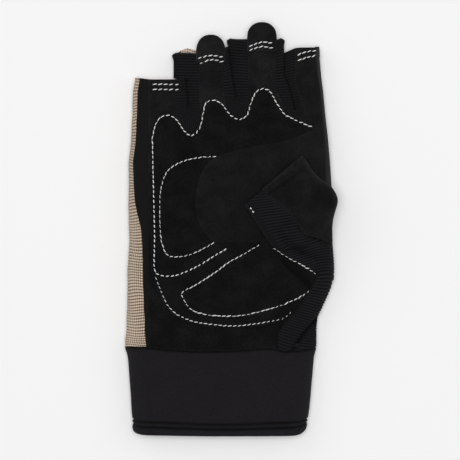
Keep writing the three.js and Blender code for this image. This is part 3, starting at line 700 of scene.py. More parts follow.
def palm_grids():
    grids = []
    for finger in range(4):
        x, y, z, open_y = strip_grid(finger, False, 0.8, 0.85)
        # the colour is darker towards the wrist, and on the two middle fingers
        relief = lerp(0.12, 1, smoothstep(y, -35, 35))
        if finger in (1, 2):
            relief = relief - 0.1 * smoothstep(y, 50, 66)
        if finger == 3:
            # painted shadow on the palm along the raised wrist gusset
            gusset_shadow = bell(hand("rightSeam", y) - x, 1.4)
            relief = relief - 0.7 * gusset_shadow * smoothstep(-y, 26, 36)
        up = hem_at(y, open_y) + 0.05 * ripple(x * 5, y * 5)
        points = wave_hem(np.stack([x, y, z], -1))
        grids.append(grid(points, x, y, up=up, relief=relief, keep=outside_thumb_hole(x, y)))
    return grids


def side_wall(finger, step, angle_at, start=HEM_Y, end=math.inf):
    """The wall round the little finger's side, 0, or the index finger's, 3: points, lengths across, y."""
    side = 1.0 if finger == 0 else -1.0
    seam, outline = ("leftSeam", "leftEdge") if finger == 0 else ("rightSeam", "rightEdge")
    y, front_y, back_y = (rows_to(finger, side * place, step, start) for place in (1.0, 0.5, 1.5))
    front_y, back_y, y = front_y[y <= end], back_y[y <= end], y[y <= end]
    front_x = hand(seam, front_y)
    back_x = hand(seam, back_y) if finger == 0 else back_seam(back_y)
    front = np.stack([front_x, front_y, palm_z(front_x, front_y)], -1)
    back = np.stack([back_x, back_y, np.zeros_like(y)], -1)
    edge = np.stack([hand(outline, y), y], -1)
    angle = angle_at(y[:, None])
    points = wall_point(front[:, None], edge[:, None], back[:, None], angle)
    return points, lengths(points, 1), np.broadcast_to(y[:, None], angle.shape)


def knit_turn(y):
    """The turn round the little finger's side at which the tan knit ends."""
    seam = hand("leftSeam", y)
    return np.arcsin((hand("knitEdge", y) - seam) / (hand("leftEdge", y) - seam))


def back_grids():
    grids = []
    for finger in range(4):
        x, y, z, _ = strip_grid(finger, True, TAN_PITCH / 6, 3.4)
        relief = rib(y, TAN_PITCH)
        points = wave_hem(np.stack([x, y, z], -1))
        grids.append(flipped(grid(points, x, y, up=(relief - 1) * TAN_DEPTH, relief=relief)))
    share = edge_spread(20, 1)
    points, length, y = side_wall(0, TAN_PITCH / 6, lambda y: lerp(math.pi, knit_turn(y), share))
    x, z = points[..., 0], points[..., 2]
    # faint upright lines between the courses of the knit, which sag
    columns = 0.12 * np.abs(np.sin(np.pi * length / 1.2))
    sag = 0.35 * np.sin(2 * np.pi * length / 15 + 0.16 * y) + 0.25 * np.sin(0.31 * y)
    relief = rib(y + sag, TAN_PITCH)
    up = (relief - 1) * TAN_DEPTH + columns + 0.45 * ripple(y * 0.9, z)
    # the knit darkens towards the black seam
    across = (x - hand("leftEdge", y)) / (hand("knitEdge", y) - hand("leftEdge", y))
    on_face = z > palm_z(hand("leftSeam", y), y) / 2
    relief = relief - 0.3 * np.clip(across, 0, 1) ** 1.3 * on_face
    grids.append(grid(wave_hem(points), length, y, up=up, relief=relief))
    return grids


def strip_relief(finger, side, y, depth):
    open_y = opening_y(finger, side)
    return depth * np.sin(2 * np.pi * y / STRIP_KNIT) + hem_at(y, open_y, 5.5, 0.25)


def outer_side_grids():
    share = edge_spread(20, 20 / 12)
    points, length, y = side_wall(0, 0.4, lambda y: lerp(knit_turn(y), 0.0, share))
    return [grid(wave_hem(points), length, y, up=strip_relief(0, 1.0, y, 0.06))]


# How the ribs of the long gusset tilt on the way from the thumb's mouth to the wrist.
RIB_TILT = table(
    "y degrees",
    [
        [-61, -11], [-53, -15], [-45, -16], [-36, -14], [-29, -5], [-25, 2], [-20, 15], [-12, 16],
        [-3, 10], [8, 7], [24, 9],
    ],
)
RIB_MIDDLE, RIB_FLAT = 40, 46
# The lower end of the long gusset is folded: right of this line it lies deeper.
GUSSET_FOLD = table(
    "y x",
    [
        [-61, 30], [-58.2, 31.2], [-55.8, 32.6], [-51.5, 35.7], [-46.7, 39.9], [-44.2, 42.4],
        [-41.5, 46.5],
    ],
)


def gusset_phase(x, y):
    """The ribs' phase: they fan out, and run level near the outer edge."""
    tilt = np.tan(np.radians(read(RIB_TILT, "y", "degrees", y)))
    reach = x - np.where(tilt > 0, 1.2 * np.logaddexp(0, (x - RIB_FLAT) / 1.2), 0)
    return y - tilt * (reach - RIB_MIDDLE)


def wrist_gusset_grids():
    angles = edge_spread(40, 0.9)[None, :] * math.pi
    points, length, y = side_wall(3, BLACK_PITCH / 6, lambda y: angles + 0 * y, end=-5.5)
    x = points[..., 0]
    seam = x - hand("rightSeam", y)
    fold = x - read(GUSSET_FOLD, "y", "x", y)
    low, under = smoothstep(-y, 41.5, 45), smoothstep(fold, -0.2, 0.5)
    relief = rib(gusset_phase(x, y), BLACK_PITCH)
    up = (relief - 1) * BLACK_DEPTH * smoothstep(seam, 0.1, 0.8)
    # painted shade along the fold's crease
    relief = relief - 0.9 * bell(fold - 0.8, 1.1) * low
    deep = (1.4 + 2.4 * bell(fold - 1.1, 1.5)) * under * low * smoothstep(y, -60.2, -56.6)
    band = 1.5 * smoothstep(seam, 0, 2.2) * (1 - under) * smoothstep(-y, 30, 40)
    # only the upper face is folded, so the outline stays
    points[..., 2] += smoothstep(angles, 2.1, 1.1) * (band - deep)
    return [grid(wave_hem(points), length, y, up=up, relief=relief)]


def index_side_grids():
    angles = edge_spread(24, 0.9)[None, :] * math.pi
    points, length, y = side_wall(3, 0.45, lambda y: angles + 0 * y, start=-6.0)
    at_hole = (cell_middles(y) < 8) & (cell_middles(angles + 0 * y) < math.radians(24))
    # the side's painted highlight fades towards the wrist
    relief = lerp(0.6, 1, smoothstep(y, 35, 75))
    up = strip_relief(3, -1.0, y, 0.05)
    return [grid(points, length, y, up=up, relief=relief, keep=~at_hole)]


def finger_gusset_grids(number):
    """A gusset runs down one finger's side, round the bottom of the slit and up the next finger."""
    slit_y, web_y = GUSSETS["slitY"][number], GUSSETS["webY"][number]
    step = BLACK_PITCH / 6
    fingers = {1: number, -1: number + 1}

    def seam(side, y, on_back):
        """The gusset's seam with the finger on its left, side 1, or on its right, side -1."""
        x = strip_sides(fingers[side], y, on_back)[1 if side > 0 else 0]
        return np.stack([x, y, np.zeros_like(x) if on_back else palm_z(x - 0.01 * side, y)], -1)

    def arm(side):
        """Front seam, middle line and back seam from the slit's end up to the opening."""
        finger = fingers[side]
        share = np.linspace(0, 1, int((opening_y(finger, 1.0) - slit_y) / step) + 1)
        y, front_y, back_y = (
            lerp(slit_y, opening_y(finger, -side * place), share) for place in (1.0, 0.5, 1.5)
        )
        x = read(SLITS[number], "y", "x", y)
        if number == 0 and side < 0:
            x = x - RING_FLARE["width"] * smoothstep(y, RING_FLARE["start"], RING_FLARE["full"])
        # above the neighbour's opening the corner turns out a little and is rounded off
        free = opening_y(finger, -side)
        if free > opening_y(fingers[-side], side):
            turned = (0.8 if number == 0 else 0.35) * smoothstep(y, free - 4.5, free - 1.5)
            x = x + side * (turned - 2.1 * np.clip((y - free + 1.7) / 1.7, 0, 1) ** 2)
        return seam(side, front_y, False), np.stack([x, y], -1), seam(side, back_y, True)

    dense = web_y + (slit_y - web_y) * np.linspace(0, 1, 1500) ** 2
    run = lengths(np.concatenate([seam(1, dense[::-1], False), seam(-1, dense, False)[1:]]))
    at = np.linspace(0, run[-1], int(run[-1] / step) + 1)[1:-1]
    y = np.interp(at, run, np.concatenate([dense[::-1], dense[1:]]))
    on_left = (at < run[len(dense) - 1])[:, None]
    front, back = (np.where(on_left, seam(1, y, b), seam(-1, y, b)) for b in (False, True))
    turn = np.full((len(at), 2), [read(SLITS[number], "y", "x", slit_y), slit_y])
    front, edge, back = (
        np.concatenate([down[::-1], round_slit, up])
        for down, round_slit, up in zip(arm(1), (front, turn, back), arm(-1))
    )
    share = edge_spread(24, 1.0)[None, :]
    angle = np.repeat((1 - share) * np.pi, len(front), 0)
    points = wall_point(front[:, None], edge[:, None], back[:, None], angle)
    length = lengths(points, 1)
    phase = np.broadcast_to(lengths(front)[:, None], angle.shape)
    relief = lerp(1, rib(phase, BLACK_PITCH), smoothstep(length.max(1), 2.0, 5.0)[:, None])
    # the two sides of a slit touch where they bulge most
    from_middle = np.abs(share - 0.5)
    up = (relief - 1) * BLACK_DEPTH * smoothstep(from_middle, 0.02, 0.12)
    # painted shade down the middle of the slit, where its two sides meet
    relief = relief - 0.6 * smoothstep(from_middle, 0.2, 0.05)
    return [grid(points, length, phase, up=up, relief=relief)]


# ---------------------------------------------------------------- layers on the palm

OVERLAY_TOP = table(
    "x y",
    [
        [-39.9, 44.5], [-37.9, 52.6], [-32.2, 58.2], [-20, 48.2], [-9.2, 65.6], [4.3, 56.1], [16.3, 71.4],
        [30.5, 56.5], [41.2, 51.8],
    ],
)
OVERLAY_BOTTOM = table(
    "x y",
    [
        [-39.9, -21], [-36.3, -30.5], [-32.3, -38.8], [-27.4, -43.6], [-19, -47.1], [-8, -48.8],
        [10.5, -48.6], [22, -46.8], [30, -42.6], [36, -34], [41.2, -27],
    ],
)
OUTER_PAD = table(
    "y left right",
    [
        [-13.3, -29.5, -24.5], [-11.75, -32.5, -18.5], [-7.75, -34.1, -11], [-4.5, -34.8, -12.4],
        [1, -35.2, -16.2], [10, -35.5, -18.6], [20, -34.9, -18.2], [28, -32.4, -16.3],
        [31.5, -29, -14.6], [34.5, -22.2, -11], [36.2, -15, -8.5],
    ],
)
HEEL_PAD = table(
    "y left right",
    [
        [-43.2, -6, 2], [-42, -14.5, 9.5], [-39.6, -20, 19], [-35.7, -23, 30.5], [-32, -24.5, 35.5],
        [-29.5, -21, 37.8], [-24.5, -12.8, 41], [-20.7, -7, 40], [-16.2, -1, 32.5],
        [-12, 6.7, 25.5], [-8.6, 12.5, 18.5],
    ],
)
WEB_PATCH = table(
    "y left right",
    [
        [-6.6, -8, 14], [-3.5, -11.6, 24], [1, -15.2, 31], [6.5, -17.2, 34.5], [12.3, -17.9, 36],
        [18, -17.4, 45.6], [25.8, -15.7, 46], [30.8, -13.4, 45.8], [36.5, -6.6, 45.6],
        [41, 9, 45.3], [44.3, 27, 45.2], [49, 39, 44.6],
    ],
)
TABS = table(
    "left right base tip round power",
    [[-17.5, -2.7, 83.6, 97.5, 9, 2.4], [8.1, 22.9, 89, 103.8, 7.5, 2.3]],
)
OVERLAY_WALL = 1.5
PATCH_WALL = 0.75
TAB_LIFT = 1.9
VALLEY_SHADE = 0.4
PAD = {"lift": 0.15, "crown": 0.9, "step": 1.3}
SWELL_FRAMES = 20
SWELL_CAP = 1.5 * MM


def overlay_z(x, y):
    return palm_z(x, y) + 0.1 + OVERLAY_WALL


def overlay_grids():
    line = np.concatenate([np.linspace(-39.9, -37.9, 6)[:-1], np.linspace(-37.9, 41.2, 122)])[None, :]
    bottom, top = (read(tab, "x", "y", line) for tab in (OVERLAY_BOTTOM, OVERLAY_TOP))
    y = lerp(bottom, top, edge_spread(100, 0.72)[:, None])
    x = np.broadcast_to(line, y.shape)
    up = sewn_dip(x, y) + 0.04 * ripple(x * 6, y * 6)
    points = np.stack([x, y, overlay_z(x, y)], -1)
    relief = 1 + VALLEY_SHADE * valleys(x, y)
    return [grid(points, x, y, up=up, relief=relief, keep=outside_thumb_hole(x, y, 2))]


def layer_rows(tab, step_x, step_y):
    """A grid between a table's two sides: x, y and the shares across and up."""
    low, high = tab["y"][0], tab["y"][-1]
    up = edge_spread(high - low, step_y)[:, None]
    y = lerp(low, high, up)
    left, right = read(tab, "y", "left", y), read(tab, "y", "right", y)
    across = edge_spread(float(np.max(right - left)), step_x)[None, :]
    x = lerp(left, right, across)
    return x, np.broadcast_to(y, x.shape), across, up


def patch_grids():
    x, y, _, _ = layer_rows(WEB_PATCH, 0.9, 0.7)
    points = np.stack([x, y, overlay_z(x, y) + PATCH_WALL], -1)
    relief = lerp(0.5, 1, smoothstep(y, -7, 8))
    return [grid(points, x, y, up=0.02 * ripple(x * 6, y * 6), relief=relief)]


def add_pad(name, tab, node):
    """A quilted pad: a sheet sewn down along its edge and swelled from inside."""
    x, y, across, up = layer_rows(tab, PAD["step"], PAD["step"])
    crown = np.sqrt(np.clip(np.sin(np.pi * across) * np.sin(np.pi * up), 0, 1))
    z = overlay_z(x, y) + PAD["lift"] + PAD["crown"] * crown
    sheet = welded([grid(np.stack([x, y, z], -1), x, y, relief=1 + VALLEY_SHADE * valleys(x, y))])
    count = len(sheet[0])
    rim = np.unique(rim_edges(sheet[-1], count))
    points, triangles, cloth = close(*sheet, wall=0.6, roll=0.25, radius=1.0, straight=True)
    made = add_mesh(name, points, triangles, cloth, OVERLAY_SUEDE)
    swell(made, [*rim.tolist(), *range(count, 2 * count)])
    smooth = made.modifiers.new("smooth", "SUBSURF")
    smooth.levels = smooth.render_levels = 1
    bpy.context.view_layer.update()
    evaluated = made.evaluated_get(bpy.context.evaluated_depsgraph_get())
    mesh = bpy.data.meshes.new_from_object(evaluated)
    made.modifiers.clear()
    made.data = mesh
    mesh.polygons.foreach_set("use_smooth", np.ones(len(mesh.polygons), bool))
    finish_piece(made, node)


def swell(made, held):
    """Swells the pad's free face as cloth under pressure, its edge and underside held."""
    before = np.array([v.co for v in made.data.vertices], float)
    made.vertex_groups.new(name="held").add(held, 1.0, "REPLACE")
    cloth = made.modifiers.new("cloth", "CLOTH").settings
    cloth.vertex_group_mass = "held"
    cloth.use_pressure = True
    cloth.uniform_pressure_force = 4
    cloth.effector_weights.gravity = 0
    cloth.tension_stiffness = cloth.compression_stiffness = 12
    cloth.bending_stiffness = 0.4
    cloth.shrink_min = -0.05
    cloth.quality = 6
    for frame_number in range(1, SWELL_FRAMES + 1):
        bpy.context.scene.frame_set(frame_number)
    evaluated = made.evaluated_get(bpy.context.evaluated_depsgraph_get())
    moved = np.array([v.co for v in evaluated.data.vertices], float) - before
    made.modifiers.clear()
    bpy.context.scene.frame_set(1)
    size = np.linalg.norm(moved, axis=1)
    moved *= (SWELL_CAP * np.tanh(size / SWELL_CAP) / np.maximum(size, 1e-12))[:, None]
    made.data.vertices.foreach_set("co", (before + moved).astype(np.float32).ravel())
    made.data.update()


def tab_grids(number):
    left, right, base, tip, rounded, power = (column[number] for column in TABS.values())
    run = np.linspace(0, 1, 34)[:, None]
    y = lerp(base, tip, np.sin(run * np.pi / 2))
    past = np.clip((y - (tip - rounded)) / rounded, 0, 1)
    round_end = np.maximum(1 - past**power, 0.02) ** (1 / power)
    width = (right - left) / 2 * round_end * lerp(1.03, 0.94, run)
    share = edge_spread(14, 0.6)[None, :]
    x = (left + right) / 2 + (2 * share - 1) * width
    side = np.minimum(np.minimum(share, 1 - share) * 2 * width, tip - y)
    y = np.broadcast_to(y, x.shape)
    z = palm_z(x, np.minimum(y, FINGERS["front"][number + 1] + 4)) + TAB_LIFT
    bend = 0.3 * np.sin(np.pi * np.clip((y - base) / (tip - base), 0, 1))
    up = bend - 0.22 * bell(side - 1.5, 0.35) + 0.04 * ripple(x * 6, y * 6)
    return [grid(np.stack([x, y, z], -1), x, y, up=up)]


# ---------------------------------------------------------------- thumb

# Sections from the root to the mouth: the two edges, and how far the front and the back bulge.
THUMB = table(
    "at innerX innerY innerZ outerX outerY outerZ front back",
    [
        [0, 24.5, -11.2, 21.4, 49.9, -6.2, 15, 1.6, 0.8],
        [0.22, 20.5, -8.4, 23.6, 51, 5, 18.6, 4.6, 2.4],
        [0.42, 16.8, -3.4, 25, 53.2, 14.4, 21, 6.3, 3.2],
        [0.6, 13.4, 2, 25.7, 50.7, 20.4, 22, 7.1, 3.2],
        [0.8, 9.8, 7.3, 26, 43.6, 26.2, 23, 7.2, 3.2],
        [1, 6.5, 12.4, 26.2, 35, 36.5, 24, 7.2, 3.2],
    ],
)
# The knit's share of the thumb's width.
THUMB_KNIT = table(
    "at share",
    [
        [0, 0.97], [0.02, 0.9], [0.05, 0.82], [0.1, 0.7], [0.16, 0.58], [0.22, 0.5], [0.42, 0.42],
        [0.6, 0.38], [0.8, 0.34], [1, 0.31],
    ],
)
# The gusset between the thumb's root and the wrist: its two sides.
ROOT = table(
    "at leftX leftY rightX rightY",
    [
        [0, 24.5, -11.2, 49.429, -6.35], [0.25, 29.4, -14.6, 50.2, -10], [0.5, 34.6, -18, 51.2, -14],
        [0.75, 39.6, -21.1, 51.9, -18.5], [1, 44, -25.4, 51.8, -25.4],
    ],
)
# Folds of the empty thumb: x, y, direction, length, width and depth of each soft dent.
THUMB_FOLDS = [
    (40, 8, 70, 9, 2.2, -0.9), (33, 16, 55, 8, 2.0, -0.7), (45, 14, 100, 7, 1.8, -0.8),
    (29, 4, 35, 7, 1.8, -0.5), (38, -1, 15, 8, 1.8, 0.8), (24, 20, 40, 9, 2.4, 0.4),
    (46, 4, 80, 7, 1.6, 0.7),
]
KNIT_FOLDS = [
    (36.3, -11.3, -22, 9, 1.9, -1.1), (43.5, -8.7, -14, 6, 1.7, 0.7), (27, -4.5, -45, 7, 2, -0.6),
    (18.5, 3.5, -62, 9, 1.3, 0.35), (46.5, -25, -80, 7, 2, -0.5),
]
# The suede's lower edge, which overhangs the knit.
SUEDE_EDGE = table(
    "x y",
    [[28, 7.5], [31.4, 3.4], [36, -1], [38.5, -2.6], [42.2, -4.1], [45.6, -5], [49, -6.4], [52, -7.2]],
)
THUMB_LENGTH = 37  # from the root to the mouth, along the thumb
THUMB_WIDTH = 34
THUMB_ROUND = 4.5  # radius of the tube's two sides
KNIT_COLUMNS = 46
KNIT_SHADE = 0.4


def thumb_point(at, share, on_back):
    inner_x, inner_y, inner_z, outer_x, outer_y, outer_z, front, back = (
        read(THUMB, "at", name, at) for name in list(THUMB)[1:]
    )
    width = np.hypot(outer_x - inner_x, outer_y - inner_y)
    from_side = np.clip(np.minimum(share, 1 - share) * width / THUMB_ROUND, 0, 1)
    bulge = lerp(np.sqrt(1 - (1 - from_side) ** 2), np.sin(np.pi * share), 0.25)
    z = lerp(inner_z, outer_z, share) + (-back if on_back else front) * bulge
    return np.stack([lerp(inner_x, outer_x, share), lerp(inner_y, outer_y, share), z], -1)


def overhang(x, y, side):
    """Near the suede's lower edge the suede stands up, side 1, and the knit is sunk, side -1."""
    off = y - read(SUEDE_EDGE, "x", "y", x)
    step = 0.7 * bell(off - 0.9, 1.4) if side > 0 else -1.9 * bell(off + 0.3, 1.0)
    return step * smoothstep(x, 31, 36)


def dents(folds, x, y):
    total = np.zeros_like(x)
    for fold_x, fold_y, degrees, length, width, depth in folds:
        a = math.radians(degrees)
        dx, dy = x - fold_x, y - fold_y
        run, off = dx * math.cos(a) + dy * math.sin(a), dy * math.cos(a) - dx * math.sin(a)
        total += depth * bell(run, length) * bell(off, width)
    return total


def from_edge(part):
    return 1 - np.cos(part * np.pi / 2)


def thumb_suede_grid(at, on_back):
    """The suede from the knit's seam to the outer edge of the tube."""
    part = np.concatenate([[0, 0.015, 0.035], np.linspace(0.06, 1, 44)])
    knit = read(THUMB_KNIT, "at", "share", at)[:, None]
    from_fold = ((1 - knit) * from_edge(part)[None, :])[:, ::-1]
    share = 1 - from_fold
    at = np.broadcast_to(at[:, None], share.shape)
    points = thumb_point(at, share, on_back)
    x, y = points[..., 0], points[..., 1]
    mouth = (1 - at) * THUMB_LENGTH
    up = 0.45 * smoothstep(-mouth, -3.7, -3.1) - 0.25 * bell(mouth - 3.2, 0.4)
    form = np.zeros_like(x)
    if not on_back:
        form = dents(THUMB_FOLDS, x, y) * smoothstep(mouth, 2, 6) + overhang(x, y, 1)
    # the edges of the mouth and of the fold on the outer side are lighter in patches: partly scuffing,
    # partly painted highlight
    scuffed_and_highlit = np.maximum(bell(mouth, 1.3), 0.7 * bell(THUMB_WIDTH * from_fold, 1.6))
    wear = scuffed_and_highlit * np.clip(0.55 + 1.6 * ripple(x * 7, y * 7), 0, 1)
    relief = 1 - 0.7 * bell(mouth - 3.3, 0.45)
    return grid(points, x, y, up=up, form=form, wear=wear, relief=relief)


def knit_grid(points, inside, form):
    """Ribs of the gusset, which end a little inside its edge above the palm, in a plain border."""
    x, y = points[..., 0], points[..., 1]
    ribbed = smoothstep(inside, 2.0, 3.8)
    relief = lerp(0.45, rib(gusset_phase(x, y), BLACK_PITCH), ribbed)
    up = (relief - 1) * BLACK_DEPTH * ribbed
    return grid(points, x, y, up=up, form=form, relief=relief + KNIT_SHADE * np.minimum(form, 0))


def knit_form(x, y):
    return dents(THUMB_FOLDS, x, y) * 0.6 + dents(KNIT_FOLDS, x, y) + overhang(x, y, -1)


def thumb_knit_grid(at, on_back):
    share = read(THUMB_KNIT, "at", "share", at)[:, None] * from_edge(np.linspace(0, 1, KNIT_COLUMNS))
    points = thumb_point(np.broadcast_to(at[:, None], share.shape), share, on_back)
    x, y = points[..., 0], points[..., 1]
    form = np.zeros_like(x) if on_back else knit_form(x, y)
    return knit_grid(points, share * THUMB_WIDTH, form)


def gusset_z(x, y):
    """Height of the hand's face, carried on round the edge on the thumb's side."""
    seam, edge = hand("rightSeam", y), hand("rightEdge", y)
    beyond = np.clip((x - seam) / (edge - seam), 0, 1)
    return palm_z(np.minimum(x, seam), y) * (0.5 + 0.5 * np.sqrt(1 - beyond**2))


def thumb_root_grid():
    """The gusset between the thumb and the wrist: it leaves the palm at the slanting stitch line."""
    at = np.linspace(1, 0, 84)[:, None]
    share = from_edge(np.linspace(0, 1, KNIT_COLUMNS))[None, :]
    left_x, left_y, right_x, right_y = (read(ROOT, "at", name, at) for name in list(ROOT)[1:])
    x, y = lerp(left_x, right_x, share), lerp(left_y, right_y, share)
    top = thumb_point(np.zeros_like(share), share * THUMB_KNIT["share"][0], False)[..., 2]
    on_overlay = 1 - smoothstep(x, 40.2, 42.4)
    rest = gusset_z(x, y) + 0.3 + (OVERLAY_WALL + 0.1) * on_overlay
    # the lower end sinks into the wrist gusset, whose ribs go on from it
    rest = rest - 1.1 * smoothstep(at, 0.72, 0.94)
    z = lerp(top, rest, smoothstep(at, 0, 0.8))
    z = z + 0.9 * np.sin(np.pi * share) * np.sin(np.pi * (1 - at))
    inside = x - left_x + 6 * smoothstep(at, 0.02, 0.3)
    return knit_grid(np.stack([x, y, z], -1), inside, knit_form(x, y))


# ---------------------------------------------------------------- wrist band

CUFF_END = -103.6
CUFF_SPLIT = -97.6  # from here down it is the bound edge
CUFF_SEAMS = (-97.4, -99.9)
# How far the cuff's lower edge rises towards its two corners.
CUFF_RISE = table(
    "x rise",
    [
        [-50, 3.4], [-48.6, 2.2], [-47, 1.2], [-44, 0.55], [-34, 0.3], [-20, 0.1], [-5, 0], [8, 0],
        [22, 0.05], [31, 0.2], [34.5, 0.9], [36.5, 2.3], [37.7, 3.6],
    ],
)


def wrist_loop(y, front_count=90, side_count=26):
    """One closed loop round the wrist: front, right side, back, left side."""
    left_x, right_x, left_edge, right_edge = (
        float(hand(name, y)) for name in ("leftSeam", "rightSeam", "leftEdge", "rightEdge")
    )
    back_x = float(back_seam(y))

    def line(start, end, count, on_back):
        x = np.linspace(start, end, count)
        return np.stack([x, np.full_like(x, y), np.zeros_like(x) if on_back else palm_height(x, y)], -1)

    def side(front, edge, back, start, end):
        angle = np.linspace(start, end, side_count)
        return wall_point(front, np.array([edge, y]), back, angle)[1:]

    front = line(left_x, right_x, front_count, False)
    back = line(back_x, left_x, front_count // 3, True)
    right_side = side(front[-1], right_edge, back[0], 0, math.pi)
    return np.concatenate([front, right_side, back[1:], side(front[0], left_edge, back[-1], math.pi, 0)])


def cuff_grid():
    """The elastic band and its bound edge, with two rows of topstitching: the grid, and its rows' y."""
    spans = ((CUFF_END, -95.2, 46), (-94.9, -62.2, 62), (-61.9, -57.4, 16))
    ys = np.concatenate([np.linspace(*span) for span in spans])
    points = np.array([wrist_loop(y) for y in ys])
    x, row = points[..., 0], np.broadcast_to(ys[:, None], points.shape[:2])
    points[..., 1] += (1 - smoothstep(row, CUFF_END, -90)) * read(CUFF_RISE, "x", "rise", x)
    points[..., 2] = z = np.maximum(points[..., 2], 0)
    # the topstitching sags a little in the middle of the band
    sag = 0.9 * bell(x + 4, 24) - 0.5
    first, second = (row - seam + sag for seam in CUFF_SEAMS)
    up = 0.22 * smoothstep(-first, 0, 1.2) - 0.55 * bell(first, 0.7) - 0.5 * bell(second, 0.65)
    up = up + 0.3 * bell(row + 102, 1.1)
    up = up + 0.16 * ripple(x * 1.3, row * 0.8) + 0.07 * np.sin(2 * np.pi * x / 13 + 0.05 * row)
    up = np.where(z < 0.6, np.minimum(up, 0) * 0.6, up * (0.4 + 0.6 * smoothstep(z, 0.5, 4)))
    # it goes in under the hem of the hand, in its shadow
    hem = HEM_Y + read(HEM_WAVE, "x", "y", x)
    up = up - 1.75 * smoothstep(row, hem - 0.25, hem + 0.5)
    # darker along the two rows of topstitching, and a painted shadow under the hand's hem
    relief = 1 - bell(first, 0.8) - bell(second, 0.75) - 1.3 * bell(row - hem + 0.1, 0.85)
    run = np.broadcast_to(lengths(points[50]), up.shape)
    return grid(points, run, row, up=up, relief=relief), ys


# ---------------------------------------------------------------- stitches


def capsule(length, radius, flat=0.75, rings=5, sides=6):
    """One stitch along X: a short thread that dips into the cloth at its two ends."""
    t = np.linspace(-1, 1, rings)
    wide = radius * np.sqrt(np.maximum(1 - np.abs(t) ** 2.6, 0.02))[:, None]
    drop = -0.55 * radius * t**2
    angle = np.arange(sides) * 2 * np.pi / sides
    round_x = np.repeat(t[:, None] * length / 2, sides, 1)
    points = np.stack([round_x, wide * np.cos(angle), wide * flat * np.sin(angle) + drop[:, None]], -1)
    ends = [[-length / 2, 0, drop[0]], [length / 2, 0, drop[-1]]]
    first, last, top = rings * sides, rings * sides + 1, (rings - 1) * sides
    faces = []
    for j in range(sides):
        k = (j + 1) % sides
        for a in range(0, top, sides):
            faces += [(a + j, a + sides + k, a + k), (a + j, a + sides + j, a + sides + k)]
        faces += [(first, j, k), (last, top + k, top + j)]
    return np.concatenate([points.reshape(-1, 3), ends]), np.array(faces)


def surface_below(names):
    """Looks straight down on the named pieces: height and normal at a place, in millimetres."""
    trees = []
    for name in names:
        mesh = made_pieces[name].data
        points = [v.co for v in mesh.vertices]
        trees.append(BVHTree.FromPolygons(points, [p.vertices for p in mesh.polygons]))

    def at(x, y):
        start = Vector((x * MM, y * MM, 0.08))
        hits = [tree.ray_cast(start, Vector((0, 0, -1))) for tree in trees]
        hit, normal, _, _ = max(hits, key=lambda found: -1 if found[0] is None else found[0].z)
        return (None, None) if hit is None else (hit.z / MM, normal)

    return at


def add_stitches(
    name, lines, names, length=2.35, radius=0.28, pitch=STITCH_PITCH, slant=10, fade=0, lift=0.1
):
    """Threads along lines: a slanted one for each pitch.

    With a fade they are smaller near the line's start, and over its last fade millimetres.
    """
    at = surface_below(names)
    shape, faces = capsule(length, radius)
    place_on_thread = np.column_stack([shape[:, 0], shape[:, 1] * 4, np.zeros((len(shape), 2))])
    points = []
    for line in lines:
        places, run = along(line, 0.1)
        count = max(1, int(round(run[-1] / pitch)))
        for s in (np.arange(count) + 0.5) * run[-1] / count:
            (x, ahead_x, behind_x), (y, ahead_y, behind_y) = (
                np.interp([s, s + 0.5, s - 0.5], run, column) for column in places.T
            )
            z, normal = at(x, y)
            if z is None:
                continue
            serial = len(points)
            turn = math.radians(slant) * (1 + 0.5 * math.sin(serial * 2.4))
            turn += math.atan2(ahead_y - behind_y, ahead_x - behind_x)
            if normal.z < 0:
                normal = -normal
            side = normal.cross(Vector((math.cos(turn), math.sin(turn), 0))).normalized()
            size = 1 + 0.07 * math.sin(serial * 1.7)
            if fade:
                size *= 1 - 0.45 * float(smoothstep(s, run[-1] - fade, run[-1]))
                size *= 0.75 + 0.25 * float(smoothstep(s, 8, 22))
            axes = np.array([side.cross(normal).normalized(), side, normal])
            points.append((shape * size) @ axes + [x, y, z] + lift * axes[2])
    triangles = np.concatenate([faces + i * len(shape) for i in range(len(points))])
    cloth = np.tile(place_on_thread, (len(points), 1))
    finish_piece(add_mesh(name, np.concatenate(points), triangles, cloth, WHITE_THREAD))


# ---------------------------------------------------------------- building

add_cloth("palm_suede", palm_grids(), BLACK_SUEDE, "palm_panel", "suede")
add_cloth("back_tan_knit", back_grids(), TAN_KNIT, "back_panel", "tan_knit")
add_cloth("outer_side_strip", outer_side_grids(), OUTER_KNIT, "outer_side_panel", "black_knit")
add_cloth("index_side_strip", index_side_grids(), INDEX_KNIT_HIGHLIT, "index_side_panel", "black_knit")
add_cloth("wrist_gusset_knit", wrist_gusset_grids(), BLACK_KNIT, "wrist_gusset", "black_knit")
for number, node in enumerate(["gusset_little_ring", "gusset_ring_middle", "gusset_middle_index"]):
    add_cloth(node + "_knit", finger_gusset_grids(number), FINGER_KNIT, node, "black_knit", wall=1.1)
add_cloth(
    "overlay_suede_layer", overlay_grids(), OVERLAY_SUEDE, "palm_overlay", "overlay_suede",
    wall=OVERLAY_WALL, roll=0.8, radius=1.4, straight=True,
)
add_pad("outer_quilted_pad", OUTER_PAD, "outer_pad")
add_pad("heel_quilted_pad", HEEL_PAD, "heel_pad")
add_cloth(
    "smooth_palm_patch", patch_grids(), SMOOTH_SUEDE, "web_patch", "smooth_suede",
    wall=PATCH_WALL, roll=0.45, radius=1.2, straight=True,
)
for number, node in enumerate(["ring_pull_tab", "middle_pull_tab"]):
    add_cloth(
        node + "_suede", tab_grids(number), BLACK_SUEDE, node, "suede",
        wall=1.6, roll=0.6, radius=1.2, straight=True,
    )
front_rows = np.concatenate([np.linspace(0, 0.1, 24)[:-1], np.linspace(0.1, 1, 76)])
thumb_front = thumb_suede_grid(front_rows, False)
thumb_back = flipped(thumb_suede_grid(np.linspace(0.5, 1, 50), True))
add_cloth("thumb_front_suede", [thumb_front], THUMB_SUEDE, "thumb_front", "suede")
